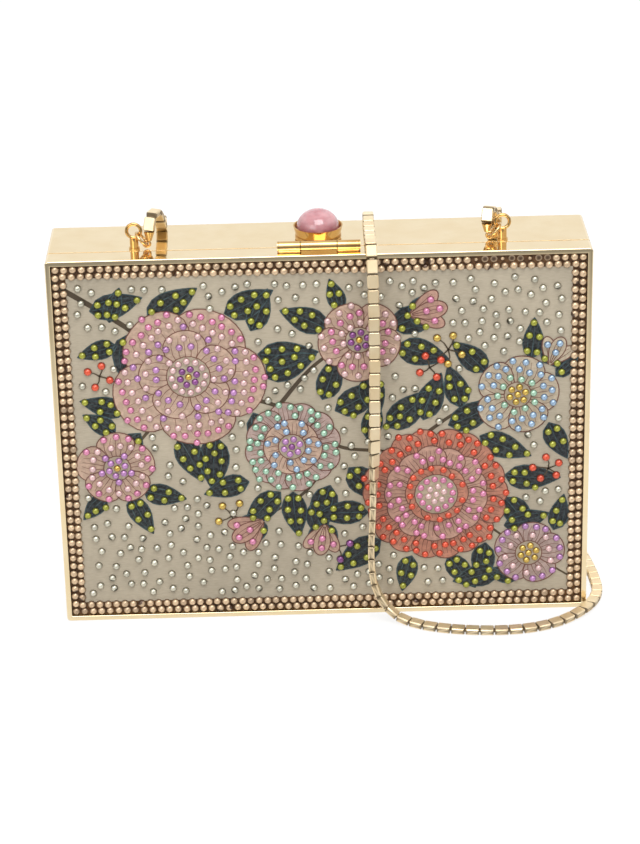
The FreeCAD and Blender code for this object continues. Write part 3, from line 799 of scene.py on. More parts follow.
@dataclass
class ShoulderChain:
    """The limp chain of folded brick links, over the case and along the surface it stands on."""

    route: Sequence[Place] = CHAIN_ROUTE
    length: float = 0.888
    pitch: float = 4.65 * MM
    link: float = 4.3 * MM
    width: float = 3.5 * MM
    thick: float = 2.0 * MM
    bevel: float = 0.3 * MM
    end_bevel: float = 0.2 * MM
    rail: float = 0.16 * MM
    sunk: float = 0.12 * MM
    bridge: Place = (2.2 * MM, 1.5 * MM, 0.8 * MM)
    shades: Limits = (0.86, 1.0)
    # Painted shade: darker in the sunk windows, at the link ends and on the bars between links.
    rail_painted_shade: float = 0.9
    window_painted_shade: float = 0.8
    end_painted_shade: float = 0.3
    bridge_painted_shade: float = 0.2
    lying: Limits = (2.0, 10.0)
    over_top: float = 80.0
    back_slope: float = 10.0
    twist: float = 86.0
    twist_heights: Limits = (40.0, 76.0)
    steps: int = 24
    look: float = 0.4

    def line(self) -> Course:
        """The chain's smooth line, in metres."""
        curve = bpy.data.curves.new("chain_line", "CURVE")
        curve.dimensions = "3D"
        curve.resolution_u = self.steps
        spline = curve.splines.new("NURBS")
        spline.points.add(len(self.route) - 1)
        for point, place in zip(spline.points, self.route):
            point.co = (place[0] * MM, place[1] * MM, place[2] * MM, 1)
        spline.order_u = 3
        spline.use_endpoint_u = True
        holder = bpy.data.objects.new("chain_line", curve)
        bpy.context.scene.collection.objects.link(holder)
        mesh = bpy.data.meshes.new_from_object(holder)
        points = [vertex.co.copy() for vertex in mesh.vertices]
        bpy.data.objects.remove(holder)
        bpy.data.meshes.remove(mesh)
        bpy.data.curves.remove(curve)
        return Course(points)

    def facing(self, place: Vector, along: Vector) -> Vector:
        """The way that a link's broad face looks, roughly.

        Args:
            place: where the link is, in metres.
            along: the chain's run there.

        Returns:
            A direction, to be squared to the chain's run.
        """
        _, y, z = place / MM
        lying = 1 - smooth_step(*self.lying, z)
        if y > 0 or z > self.over_top:
            return Vector((0, y / self.back_slope * (1 - lying), 1))
        turn = math.radians(self.twist) * (1 - smooth_step(*self.twist_heights, z))
        hanging = Vector((-along.z * math.sin(turn), -math.cos(turn), along.x * math.sin(turn)))
        return hanging + Vector((0, 0, lying))

    def lie(self, line: Course, distance: float) -> tuple[Vector, Vector, Vector, Vector]:
        """Where the chain is, and how it lies there.

        Args:
            line: the chain's line.
            distance: how far along it, in metres.

        Returns:
            The place, and the chain's run, face and breadth there.
        """
        place, ahead = line.at(distance), self.pitch * self.look
        along = (line.at(distance + ahead) - line.at(distance - ahead)).normalized()
        hint = self.facing(place, along)
        face = (hint - along * hint.dot(along)).normalized()
        return place, along, face, face.cross(along)

    def add_link(self, buffer: MeshBuffer, place: Vector, along: Vector, face: Vector, across: Vector,
                 shade: float) -> None:
        """One brick with eased edges and a sunk window in each narrow side, with painted shade in the
        windows and at its ends.

        Args:
            buffer: where it is added.
            place: its middle.
            along, face, across: its own directions.
            shade: how bright it is.
        """
        long, thick, wide, bevel, cut = (self.link / 2, self.thick / 2, self.width / 2, self.bevel,
                                         self.end_bevel)
        flat = (long - bevel, thick - bevel)
        window = (long - bevel - self.rail, thick - bevel - self.rail)
        # Each ring's last value is its painted shade, darker in the sunk windows.
        rings = (
            (*window, self.sunk - wide, self.window_painted_shade), (*window, -wide, self.rail_painted_shade),
            (*flat, -wide, 1.0), (long, thick, bevel - wide, 1.0),
            (long, thick, wide - bevel, 1.0), (*flat, wide, 1.0),
            (*window, wide, self.window_painted_shade), (*window, wide - self.sunk, self.window_painted_shade),
        )
        points, tones = [], []
        for run, rise, side, tone in rings:
            ring = ((run - cut, -rise), (run, cut - rise), (run, rise - cut), (run - cut, rise),
                    (cut - run, rise), (-run, rise - cut), (-run, cut - rise), (cut - run, -rise))
            for a, c in ring:
                points.append(place + along * a + face * c + across * side)
                # The link's ends, where it meets its neighbours, are darkened with painted shade.
                tones.append(tone * shade * (self.end_painted_shade if abs(a) == run else 1.0))
        corners = len(points) // len(rings)
        caps = [tuple(range(corners)), tuple(reversed(range(len(points) - corners, len(points))))]
        buffer.add(points, caps + band_faces(len(rings), corners, inward=True), tones)

    def add_bridge(self, buffer: MeshBuffer, place: Vector, along: Vector, face: Vector,
                   across: Vector) -> None:
        """The bar that joins two links, darkened by painted shade of the gap between them.

        Args:
            buffer: where it is added.
            place: the middle of the gap.
            along, face, across: the chain's directions there.
        """
        long, wide, deep = (size / 2 for size in self.bridge)
        points = [place + along * (long * a) + across * (wide * b) + face * (deep * c)
                  for a in (-1, 1) for b in (-1, 1) for c in (-1, 1)]
        faces = [(0, 1, 3, 2), (4, 6, 7, 5), (0, 4, 5, 1), (2, 3, 7, 6), (0, 2, 6, 4), (1, 5, 7, 3)]
        # Painted shade: the bar is made dark as the shade of the gap.
        buffer.add(points, faces, [self.bridge_painted_shade] * len(points))

    def build(self) -> None:
        line = self.line()
        buffer = MeshBuffer()
        draws = random.Random(SEED)
        count = round(line.reach[-1] / self.pitch)
        step = line.reach[-1] / count
        for number in range(count):
            shade = draws.uniform(*self.shades)
            self.add_link(buffer, *self.lie(line, step * (number + 0.5)), shade)
            if number:
                self.add_bridge(buffer, *self.lie(line, step * number))
        chain = buffer.piece("shoulder_chain", CHAIN_GILT, "rear_half", "chain_metal", sharp=30)
        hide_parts("chain_left_run", "chain_drape", "chain_right_run")
        log.info("chain line %.4f m, %d links", line.reach[-1], count)


@dataclass
class Board:
    """One covered face of the case, read in millimetres across and up it."""

    face: float
    side: int
    body: str
    label: str
    half_width: float = 83.2
    low: float = 1.8
    high: float = 123.2

    def at(self, spot: Spot, proud: float) -> Vector:
        """A spot seen from outside, so far in front of the cloth, in mm, as a point in metres."""
        return Vector((-self.side * spot[0], self.face + self.side * proud, spot[1])) * MM

    def inside(self, margin: float) -> tuple[float, float, float]:
        """Half of the width, and the lowest and highest level, inside a margin in mm."""
        return self.half_width - margin, self.low + margin, self.high - margin


@dataclass
class StudShape:
    """A pressed stud's outline from its foot to its top, as shares of its radius."""

    profile: tuple[tuple[float, float, float], ...]
    sides: int = 12
    worn_reach: float = 0.95
    worn_side: float = 0.5
    worn_tone: float = 0.1

    def add(self, buffer: MeshBuffer, board: Board, spot: Spot, radius: float, shade: float,
            chip: Optional[float] = None) -> None:
        """Sets one stud on the board.

        Args:
            buffer: where it is added.
            board: the board that it sits on.
            spot: where, in mm.
            radius: its radius in mm.
            shade: how clean it is.
            chip: the angle, in radians, of a side where its coat has worn off.
        """
        points, tones = [], []
        # Each ring's tone: on a dome, painted shade that darkens it towards its foot.
        for reach, rise, tone in self.profile[:-1]:
            for step in range(self.sides):
                angle = math.tau * step / self.sides
                across, up = math.cos(angle) * reach * radius, math.sin(angle) * reach * radius
                points.append(board.at((spot[0] + across, spot[1] + up), rise * radius))
                bared = chip is not None and math.cos(angle - chip) > self.worn_side
                worn = bared and reach < self.worn_reach
                tones.append(tone * shade * (self.worn_tone if worn else 1.0))
        _, height, tone = self.profile[-1]
        points.append(board.at(spot, height * radius))
        tones.append(tone * shade)
        rings, top = len(self.profile) - 1, len(points) - 1
        faces = band_faces(rings, self.sides)
        last = (rings - 1) * self.sides
        faces += [(last + step, last + (step + 1) % self.sides, top) for step in range(self.sides)]
        faces.append(tuple(reversed(range(self.sides))))
        buffer.add(points, faces, tones)


# Each ring's third value is its tone: on the two domes, painted shade darkest at the foot and lightest
# at the top; on the empty seat, the seat's own darker marks.
BORDER_STUD = StudShape(((1.0, 0.0, 0.02), (1.0, 0.16, 0.14), (0.93, 0.44, 0.5), (0.7, 0.76, 0.92),
                         (0.38, 0.93, 1.0), (0.0, 0.98, 0.96)), 14)
DOME_STUD = StudShape(((1.0, 0.0, 0.02), (1.0, 0.14, 0.16), (0.93, 0.44, 0.5), (0.72, 0.76, 0.92),
                       (0.4, 0.96, 1.0), (0.0, 1.03, 1.0)), 12)
EMPTY_SEAT = StudShape(((1.0, 0.0, 0.3), (0.97, 0.1, 0.62), (0.8, 0.12, 0.66), (0.62, 0.04, 0.3),
                        (0.3, 0.03, 0.16), (0.0, 0.03, 0.12)), 14)


@dataclass
class StudBed:
    """Studs of many colours on one board, each colour a piece of its own."""

    board: Board
    slot: str = "covered_board"
    buffers: dict[Stud, MeshBuffer] = field(default_factory=dict)
    taken: dict[tuple[int, int], list[Spot]] = field(default_factory=dict)
    cell: float = 7.0

    def free(self, spot: Spot, apart: float) -> bool:
        """Whether no stud is nearer than that.

        Args:
            spot: where a stud would go.
            apart: the least distance in mm, at most the cell's size.

        Returns:
            True if it fits.
        """
        column, row = int(spot[0] // self.cell), int(spot[1] // self.cell)
        near = (other for across in (-1, 0, 1) for up in (-1, 0, 1)
                for other in self.taken.get((column + across, row + up), ()))
        return all(math.dist(spot, other) >= apart for other in near)

    def put(self, stud: Stud, shape: StudShape, spot: Spot, radius: float, shade: float,
            chip: Optional[float] = None) -> None:
        """Sets one stud, as its shape does, in the piece of its colour, and notes its place."""
        shape.add(self.buffers.setdefault(stud, MeshBuffer()), self.board, spot, radius, shade, chip)
        self.taken.setdefault((int(spot[0] // self.cell), int(spot[1] // self.cell)), []).append(spot)

    def build(self) -> None:
        """Makes a piece of each colour."""
        for stud in Stud:
            if stud in self.buffers:
                name = f"{self.board.label}_studs_{stud.name.lower()}"
                self.buffers[stud].piece(name, stud.value, self.board.body, self.slot, sharp=50)


@dataclass
class StudBorder:
    """The double row of beige studs round a board, on a dark band that is partly the border's own
    colour and partly painted shade between the studs.
    """

    board: Board
    bed: StudBed
    edge: float = 1.25
    row_gap: float = 2.3
    pitch: float = 2.76
    radius: float = 1.25
    band: float = 4.35
    # Painted shade: the band is darker at the board's outer edge, beside the rim.
    band_proud: float = 0.015
    band_painted_shade: Limits = (0.7, 1.0)
    stray: float = 0.09
    sizes: Limits = (0.96, 1.02)
    clean: Limits = (0.9, 1.0)
    dingy: Limits = (0.55, 0.8)
    odds: tuple[float, float] = (0.88, 0.12)
    chipped: float = 0.05
    lost: Limits = (0.0, 0.0)
    rest_every: int = 3
    rest_size: float = 0.5
    seat_size: float = 0.88

    def row(self, inset: float, draws: random.Random) -> None:
        """One ring of studs at an even pitch, with seats and small rests where studs are lost.

        Args:
            inset: how far its studs' middles are from the board's edge, in mm.
            draws: where small changes come from.
        """
        half, low, high = self.board.inside(inset)
        corners = [(-half, low), (half, low), (half, high), (-half, high)]
        for start, end in zip(corners, corners[1:] + corners[:1]):
            count = round(math.dist(start, end) / self.pitch)
            worn_row = inset == self.edge and start[1] == end[1] == high
            for number in range(count):
                share = number / count
                spot = tuple(first + (last - first) * share + draws.uniform(-self.stray, self.stray)
                             for first, last in zip(start, end))
                shades = (draws.uniform(*self.clean), draws.uniform(*self.dingy))
                shade = draws.choices(shades, self.odds)[0]
                shape, size = BORDER_STUD, self.radius * draws.uniform(*self.sizes)
                chip = draws.uniform(0.0, math.tau) if draws.random() < self.chipped else None
                if worn_row and self.lost[0] < spot[0] < self.lost[1]:
                    rest = number % self.rest_every == 0
                    shape = BORDER_STUD if rest else EMPTY_SEAT
                    size *= self.rest_size if rest else self.seat_size
                self.bed.put(Stud.BEIGE, shape, spot, size, shade, chip)

    def build(self) -> None:
        """The dark band, darker by painted shade towards its outer edge, and its two rows."""
        draws = random.Random(SEED + self.board.side)
        points, tones = [], []
        for inset, tone in zip((0.0, self.band), self.band_painted_shade):
            half, low, high = self.board.inside(inset)
            for spot in ((-half, low), (half, low), (half, high), (-half, high)):
                points.append(self.board.at(spot, self.band_proud))
                tones.append(tone)
        buffer = MeshBuffer()
        buffer.add(points, band_faces(2, 4), tones)
        name = f"{self.board.label}_border_band"
        buffer.piece(name, Ink.BORDER.value, self.board.body, "covered_board")
        self.row(self.edge, draws)
        self.row(self.edge + self.row_gap, draws)


@dataclass
class Patch:
    """One printed shape: where it lies, and the studs that fill it."""

    outline: list[Spot]
    stud: Optional[Stud] = None
    apart: float = 3.0

    def __post_init__(self) -> None:
        """Notes the shape's box."""
        self.low = (min(x for x, _ in self.outline), min(y for _, y in self.outline))
        self.high = (max(x for x, _ in self.outline), max(y for _, y in self.outline))

    def covers(self, spot: Spot) -> bool:
        """Whether the spot lies in the shape."""
        x, y = spot
        if not (self.low[0] < x < self.high[0] and self.low[1] < y < self.high[1]):
            return False
        inside = False
        for first, last in zip(self.outline, self.outline[1:] + self.outline[:1]):
            if (first[1] > y) != (last[1] > y):
                if x < first[0] + (last[0] - first[0]) * (y - first[1]) / (last[1] - first[1]):
                    inside = not inside
        return inside


PETAL_BROADEST, PETAL_FOOT, PETAL_FLARE = 0.6, 0.16, 1.1
LEAF_BROADEST, LEAF_FULLNESS = 0.72, 0.9


def petal_breadth(share: float) -> float:
    """A petal's breadth along its length: narrow at its foot and round at its tip."""
    if share < PETAL_BROADEST:
        opened = math.sin(share / PETAL_BROADEST * math.pi / 2) ** PETAL_FLARE
        return PETAL_FOOT + (1 - PETAL_FOOT) * opened
    return math.sqrt(max(0.0, 1 - ((share - PETAL_BROADEST) / (1 - PETAL_BROADEST)) ** 2))


def leaf_breadth(share: float) -> float:
    """A leaf's breadth along its length: pointed, and broadest near its foot."""
    if not 0 < share < 1:
        return 0.0
    return math.sin(math.pi * share ** LEAF_BROADEST) ** LEAF_FULLNESS


@dataclass
class Blade:
    """A petal's or leaf's shape: a bent middle line with a breadth along it."""

    foot: Spot
    angle: float
    length: float
    width: float
    breadth: Callable[[float], float]
    bend: float = 0.0
    steps: int = 10

    def spot(self, share: float, side: float) -> Spot:
        """A spot on the blade.

        Args:
            share: how far from foot to tip.
            side: how far from the middle line, -1 and 1 at the edges.

        Returns:
            The spot in mm.
        """
        turn = math.radians(self.angle)
        across = self.bend * self.length * share * share + side * self.breadth(share) * self.width / 2
        along = self.length * share
        return (self.foot[0] + math.cos(turn) * along - math.sin(turn) * across,
                self.foot[1] + math.sin(turn) * along + math.cos(turn) * across)

    def stations(self) -> list[float]:
        """Shares along the length, closer together near the tip."""
        return [math.sin(math.pi / 2 * step / self.steps) for step in range(self.steps + 1)]


@dataclass
class GardenPrint:
    """A printed garland of blossoms, rosettes, buds and berries among leaves, set with studs."""

    board: Board
    bed: StudBed
    plain: bool = False
    inks: dict[Ink, MeshBuffer] = field(default_factory=dict)
    patches: list[Patch] = field(default_factory=list)
    wishes: list[tuple[int, Spot, Stud, float]] = field(default_factory=list)
    draws: random.Random = field(default_factory=lambda: random.Random(SEED))
    leaves: int = 0
    proud: float = 0.03
    layer_step: float = 0.008
    line_lift: float = 0.4
    line_width: float = 0.34
    vein_width: Limits = (0.32, 0.12)
    vein_shares: Sequence[float] = (0.06, 0.25, 0.45, 0.65, 0.84)
    leaf_layer: float = 1.0
    leaf_step: float = 0.3
    leaf_width: Limits = (0.46, 0.54)
    leaf_row: float = 4.3
    leaf_start: float = 0.62
    leaf_pair: float = 2.0
    petal_turn: Limits = (-3.0, 3.0)
    petal_length: Limits = (0.95, 1.05)
    petal_bend: Limits = (-0.06, 0.06)
    berry_turn: Limits = (-12.0, 12.0)
    berry_reach: Limits = (0.75, 1.1)
    berry_layer: float = 21.0
    stalk_width: Limits = (0.5, 0.3)
    stalk_bow: float = 0.5
    flower_layer: float = 22.0
    stud_radius: float = 1.18
    fill_radius: float = 1.15
    berry_radius: float = 1.3
    clean: Limits = (0.86, 1.0)
    dusty: Limits = (0.8, 1.0)
    row_reach: Limits = (0.84, 0.2)
    row_pitch: float = 3.1
    row_bow: float = 0.06
    row_spare: float = 0.9
    stud_pitch: float = 3.2
    edge_room: float = 2.6
    heart_pitch: float = 2.65
    heart_gap: float = 2.7
    heart_turn: float = 0.3
    heart_edge: float = 1.7
    heart_rim: float = 0.7
    heart_sides: int = 18
    margin: float = 6.4
    least_gap: float = 2.4
    ground_gap: float = 3.7
    ground_margin: float = 6.6
    ground_loose: Limits = (0.96, 1.1)
    ground_tries: int = 14000
    chipped: float = 0.13
    chip_turn: Limits = (3.6, 5.6)

    def sheet(self, ink: Ink, spots: Sequence[Spot], faces: Sequence[Face], tones: Sequence[float],
              layer: float) -> None:
        """Adds flat print.

        Args:
            ink: its colour.
            spots: its corners in mm.
            faces: its faces, as numbers of those corners.
            tones: a shade for each corner.
            layer: how many layers of print lie under it.
        """
        proud = self.proud + self.layer_step * layer
        points = [self.board.at(spot, proud) for spot in spots]
        self.inks.setdefault(ink, MeshBuffer()).add(points, faces, tones)

    def ribbon(self, ink: Ink, line: Sequence[Spot], first: float, last: float, layer: float) -> None:
        """A drawn line that may taper.

        Args:
            ink: its colour.
            line: the spots that it passes.
            first, last: its width at both ends, in mm.
            layer: how many layers of print lie under it.
        """
        spots = []
        for number, spot in enumerate(line):
            before, after = line[max(0, number - 1)], line[min(len(line) - 1, number + 1)]
            run = max(math.dist(before, after), 1e-9)
            half = (first + (last - first) * number / (len(line) - 1)) / 2
            step = (-(after[1] - before[1]) / run * half, (after[0] - before[0]) / run * half)
            spots += [(spot[0] - step[0], spot[1] - step[1]), (spot[0] + step[0], spot[1] + step[1])]
        faces = [(2 * n, 2 * n + 2, 2 * n + 3, 2 * n + 1) for n in range(len(line) - 1)]
        self.sheet(ink, spots, faces, [1.0] * len(spots), layer)

    def blade(self, ink: Ink, shape: Blade, layer: float, line: Ink, veins: Sequence[float],
              shades: Limits, stud: Optional[Stud] = None) -> int:
        """Prints a petal or leaf with its outline and veins.

        Args:
            ink: its colour.
            shape: its form.
            layer: how many layers of print lie under it.
            line: the colour of its outline and veins.
            veins: how far from the middle each vein runs.
            shades: its shade at the foot and at the tip.
            stud: the colour of studs that fill it.

        Returns:
            The number of its patch.
        """
        stations, sides = shape.stations(), (-1, 0, 1)
        spots = [shape.spot(share, side) for share in stations for side in sides]
        tones = [shades[0] + (shades[1] - shades[0]) * share for share in stations for _ in sides]
        starts = [row * len(sides) + column for row in range(len(stations) - 1) for column in (0, 1)]
        faces = [(start, start + 3, start + 4, start + 1) for start in starts]
        self.sheet(ink, spots, faces, tones, layer)
        right = [shape.spot(share, -1) for share in stations]
        left = [shape.spot(share, 1) for share in stations]
        above = layer + self.line_lift
        self.ribbon(line, right + left[-2::-1], self.line_width, self.line_width, above)
        for vein in veins:
            spots = [shape.spot(share, vein) for share in self.vein_shares]
            self.ribbon(line, spots, *self.vein_width, above)
        self.patches.append(Patch(right + left[-2:0:-1], stud))
        return len(self.patches) - 1

    def wish(self, patch: int, spot: Spot, stud: Stud, radius: Optional[float] = None,
             loose: float = 0.32) -> None:
        """Asks for a stud about there on a patch, which it gets if nothing covers it."""
        shifted = tuple(value + self.draws.uniform(-loose, loose) for value in spot)
        self.wishes.append((patch, shifted, stud, radius or self.stud_radius))

    def stem(self, line: Sequence[Spot], first: float = 1.5, last: float = 0.6, steps: int = 8) -> None:
        """A stem along a smooth line.

        Args:
            line: the spots that it passes.
            first, last: its width at both ends, in mm.
            steps: how many pieces there are from spot to spot.
        """
        fine = []
        for number in range(len(line) - 1):
            near = (line[min(max(number + step, 0), len(line) - 1)] for step in (-1, 0, 1, 2))
            pairs = list(zip(*near))
            for step in range(steps):
                t = step / steps
                fine.append(tuple(0.5 * (2 * b + (c - a) * t + (2 * a - 5 * b + 4 * c - d) * t * t
                                         + (3 * b - a - 3 * c + d) * t ** 3) for a, b, c, d in pairs))
        self.ribbon(Ink.STEM, fine + [line[-1]], first, last, 0)

    def leaf(self, foot: Spot, angle: float, length: float, bend: float = 0.0) -> None:
        """A pointed dark leaf with pairs of lime studs.

        Args:
            foot: where it starts, in mm.
            angle: the way that it points, in degrees.
            length: in mm.
            bend: how much it bends aside.
        """
        width = length * self.draws.uniform(*self.leaf_width)
        shape = Blade(foot, angle, length, width, leaf_breadth, bend)
        layer = self.leaf_layer + self.leaf_step * self.leaves
        patch = self.blade(Ink.LEAF, shape, layer, Ink.VEIN, LEAF_VEINS, (0.75, 1.0), Stud.LIME)
        self.leaves += 1
        rows = max(2, round(length / self.leaf_row))
        for row in range(rows):
            share = (row + self.leaf_start) / rows
            broad = shape.breadth(share) * shape.width / 2 > self.leaf_pair
            for side in ((-0.5, 0.5) if broad else (0,)):
                self.wish(patch, shape.spot(share, side), Stud.LIME)

    def heart(self, middle: Spot, size: float, studs: Sequence[Stud], layer: float, ink: Ink) -> None:
        """A flower's round heart with rings of studs.

        Args:
            middle: where, in mm.
            size: its radius in mm.
            studs: the colour of the middle stud and of each ring.
            layer: how many layers of print lie under it.
            ink: its colour.
        """
        count, width = self.heart_sides, self.line_width
        outline = [spot_round(middle, size, math.tau * n / count) for n in range(count)]
        faces = [(0, 1 + n, 1 + (n + 1) % count) for n in range(count)]
        self.sheet(ink, [middle] + outline, faces, [1.0] + [self.heart_rim] * count, layer)
        self.ribbon(Ink.LINE, outline + outline[:1], width, width, layer + self.line_lift)
        self.patches.append(Patch(outline))
        patch = len(self.patches) - 1
        self.wish(patch, middle, studs[0], loose=0.05)
        for ring, stud in enumerate(studs[1:], 1):
            reach = self.heart_pitch * ring
            around = int(math.tau * reach / self.heart_gap)
            for number in range(around):
                turn = math.tau * number / around + ring * self.heart_turn
                self.wish(patch, spot_round(middle, reach, turn), stud, loose=0.08)

    def petal_studs(self, patch: int, shape: Blade, run: float, colours: Sequence[Stud]) -> None:
        """Asks for bowed rows of studs across a petal.

        Args:
            patch: the petal's number.
            shape: its form.
            run: its length in mm, before it was varied.
            colours: the rows' colours from the tip inwards.
        """
        outermost, innermost = self.row_reach
        for row, stud in enumerate(colours):
            share = outermost - row * self.row_pitch / run
            if share < innermost:
                continue
            spread = shape.breadth(share) * shape.width
            across = max(1, int((spread + self.row_spare) / self.stud_pitch))
            for place in range(across):
                side = 0.0
                if across > 1:
                    side = (-1 + 2 * place / (across - 1)) * (1 - self.edge_room / spread)
                bowed = share - self.row_bow + self.row_bow * (1 - side * side)
                self.wish(patch, shape.spot(bowed, side), stud)

    def flower(self, middle: Spot, rings: Sequence[tuple[int, float, float, float, Ink]], turn: float,
               studs: Sequence[Sequence[Stud]], heart: Sequence[Stud]) -> None:
        """A flower of one or more rings of petals, the outer ring under the inner.

        Args:
            middle: where, in mm.
            rings: for each ring its number of petals, where they start and end, their width and colour.
            turn: how far the flower is turned, in degrees.
            studs: for each ring, the colours of its rows of studs from the tip inwards.
            heart: the colours of the heart's studs.
        """
        layer = self.flower_layer
        for ring, ((count, start, end, width, ink), colours) in enumerate(zip(rings, studs)):
            for number in range(count):
                angle = turn + 360 * number / count + ring * 180 / count
                angle += self.draws.uniform(*self.petal_turn)
                foot = spot_round(middle, start, math.radians(angle))
                length = (end - start) * self.draws.uniform(*self.petal_length)
                bend = self.draws.uniform(*self.petal_bend)
                shape = Blade(foot, angle, length, width, petal_breadth, bend)
                patch = self.blade(ink, shape, layer, Ink.LINE, PETAL_VEINS, (0.72, 1.0), colours[-1])
                layer += 1
                self.petal_studs(patch, shape, end - start, colours)
        size = self.heart_pitch * (len(heart) - 1) + self.heart_edge
        self.heart(middle, size, heart, layer, Ink.CREAM)

    def blossom(self, middle: Spot, size: float, turn: float, ink: Ink, studs: Sequence[Stud],
                heart: Sequence[Stud]) -> None:
        """An open five-petal blossom, in two rings where it is large.

        Args:
            middle: where, in mm.
            size: its radius in mm.
            turn: how far it is turned, in degrees.
            ink: its petals' colour.
            studs: the rows' colours from the tip inwards.
            heart: the heart's colours.
        """
        petals, foot, large = 5, 1.5, 17
        rings = [(petals, foot, size, size * 0.98, ink)]
        rows = [studs]
        if size > large:
            rings.append((petals, foot, size * 0.62, size * 0.56, ink))
            rows.append(studs[1:])
        self.flower(middle, rings, turn, rows, heart)

    def rosette(self, middle: Spot, size: float, turn: float, inks: Sequence[Ink],
                studs: Sequence[Stud], heart: Sequence[Stud]) -> None:
        """A full rosette of scallops in rings.

        Args:
            middle: where, in mm.
            size: its radius in mm.
            turn: how far it is turned, in degrees.
            inks: each ring's colour, from the outside.
            studs: each ring's stud colour, from the outside.
            heart: the heart's colours.
        """
        pitch, deep, overlap, core = 8.4, 10.5, 1.2, 0.55
        rings, rows = [], []
        for number, (ink, stud) in enumerate(zip(inks, studs)):
            end = size * (1 - number / (len(inks) + core))
            count = max(6, round(math.tau * end / pitch))
            rings.append((count, max(1.0, end - deep), end, math.tau * end / count * overlap, ink))
            rows.append((stud, stud))
        self.flower(middle, rings, turn, rows, heart)

    def bud(self, foot: Spot, angle: float, size: float, ink: Ink, stud: Stud) -> None:
        """A closed bud between two small leaves.

        Args:
            foot: where it starts, in mm.
            angle: the way that it points, in degrees.
            size: its length in mm.
            ink: its colour.
            stud: its studs' colour.
        """
        leaf_turn, leaf_length, leaf_bend = 40, 0.8, -0.003
        wing_turn, wing_length, wing_width, wing_bend = 24, 0.95, 0.42, 0.004
        for side in (-leaf_turn, leaf_turn):
            self.leaf(foot, angle + side, size * leaf_length, side * leaf_bend)
        for side in (-wing_turn, wing_turn):
            shape = Blade(foot, angle + side, size * wing_length, size * wing_width, petal_breadth,
                          side * wing_bend)
            layer = self.flower_layer + (side > 0)
            patch = self.blade(ink, shape, layer, Ink.LINE, (-0.3, 0.3), (0.75, 1.0))
            self.wish(patch, shape.spot(0.72, 0), stud)
        shape = Blade(foot, angle, size, size * 0.5, petal_breadth)
        patch = self.blade(ink, shape, self.flower_layer + 2, Ink.LINE, (-0.4, 0.0, 0.4), (0.8, 1.0))
        for share in (0.78, 0.42):
            self.wish(patch, shape.spot(share, 0), stud)

    def berries(self, middle: Spot, stud: Stud, count: int, spread: float) -> None:
        """A loose spray of berries on fine stalks.

        Args:
            middle: where the stalks meet, in mm.
            stud: the berries' colour.
            count: how many.
            spread: how far out they are, in mm.
        """
        first = self.draws.uniform(0, 360)
        for number in range(count):
            turn = first + 360 * number / count + self.draws.uniform(*self.berry_turn)
            reach = spread * self.draws.uniform(*self.berry_reach)
            end = spot_round(middle, reach, math.radians(turn))
            bend = ((middle[0] + end[0]) / 2 + self.stalk_bow, (middle[1] + end[1]) / 2)
            self.ribbon(Ink.STEM, [middle, bend, end], *self.stalk_width, self.berry_layer)
            self.wish(len(self.patches) - 1, end, stud, self.berry_radius)

    def garland(self) -> None:
        """Lays the garland out from the top left to the bottom right."""
        for line, width in STEMS:
            self.stem(line, width)
        for leaf in LEAVES:
            self.leaf(*leaf)
        for spray in BERRIES:
            self.berries(*spray)
        for bud in BUDS:
            self.bud(*bud)
        for blossom in SMALL_BLOSSOMS:
            self.blossom(*blossom)
        self.rosette(*MINT_ROSETTE)
        self.blossom(*LARGE_BLOSSOM)
        self.rosette(*CORAL_ROSETTE)

    def grant(self) -> None:
        """Sets the studs that were asked for, where nothing covers them and there is room."""
        half, low, high = self.board.inside(self.margin)
        for patch, spot, stud, radius in reversed(self.wishes):
            hidden = any(other.covers(spot) for other in self.patches[patch + 1:])
            inside = abs(spot[0]) < half and low < spot[1] < high
            if inside and not hidden and self.bed.free(spot, self.least_gap):
                self.bed.put(stud, DOME_STUD, spot, radius, self.draws.uniform(*self.clean))

    def scatter(self) -> None:
        """Silver studs all over the open ground, and more of their own on the petals."""
        half, low, high = self.board.inside(self.ground_margin)
        for _ in range(self.ground_tries):
            spot = (self.draws.uniform(-half, half), self.draws.uniform(low, high))
            gap = self.ground_gap * self.draws.uniform(*self.ground_loose)
            top = next((patch for patch in reversed(self.patches) if patch.covers(spot)), None)
            if top is None and self.bed.free(spot, gap):
                chipped = self.draws.random() < self.chipped
                chip = self.draws.uniform(*self.chip_turn) if chipped else None
                shade = self.draws.uniform(*self.dusty)
                self.bed.put(Stud.SILVER, DOME_STUD, spot, self.stud_radius, shade, chip)
            elif top is not None and top.stud is not None and self.bed.free(spot, top.apart):
                shade = self.draws.uniform(*self.clean)
                self.bed.put(top.stud, DOME_STUD, spot, self.fill_radius, shade)

    def build(self) -> None:
        """Prints the garland and sets its studs, then those of the ground."""
        if not self.plain:
            self.garland()
        self.grant()
        self.scatter()
        for ink in Ink:
            if ink in self.inks:
                name = f"{self.board.label}_print_{ink.name.lower()}"
                self.inks[ink].piece(name, ink.value, self.board.body, "covered_board")


@dataclass
class ClaspGapShades:
    """The thin dark washers between the clasp's fixed and moving barrels, which paint the shade in
    those splits.
    """

    places: tuple[float, float] = (-5.675, 5.675)
    outer: float = 1.57
    inner: float = 0.8
    thick: float = 0.12
    sides: int = 32

    def build(self) -> None:
        """Both washers, as one piece."""
        buffer = MeshBuffer()
        rims = ((-1, self.inner), (-1, self.outer), (1, self.outer), (1, self.inner))
        turns = [math.tau * step / self.sides for step in range(self.sides)]
        faces = band_faces(len(rims), self.sides, inward=True, closed=True)
        for place in self.places:
            points = [Vector((place + end * self.thick / 2, *spot_round(CLASP_AXIS, reach, turn))) * MM
                      for end, reach in rims for turn in turns]
            buffer.add(points, faces, [1.0] * len(points))
        buffer.piece("clasp_gap_shades", GAP_SHADE_METAL, "lid", "fittings_metal")


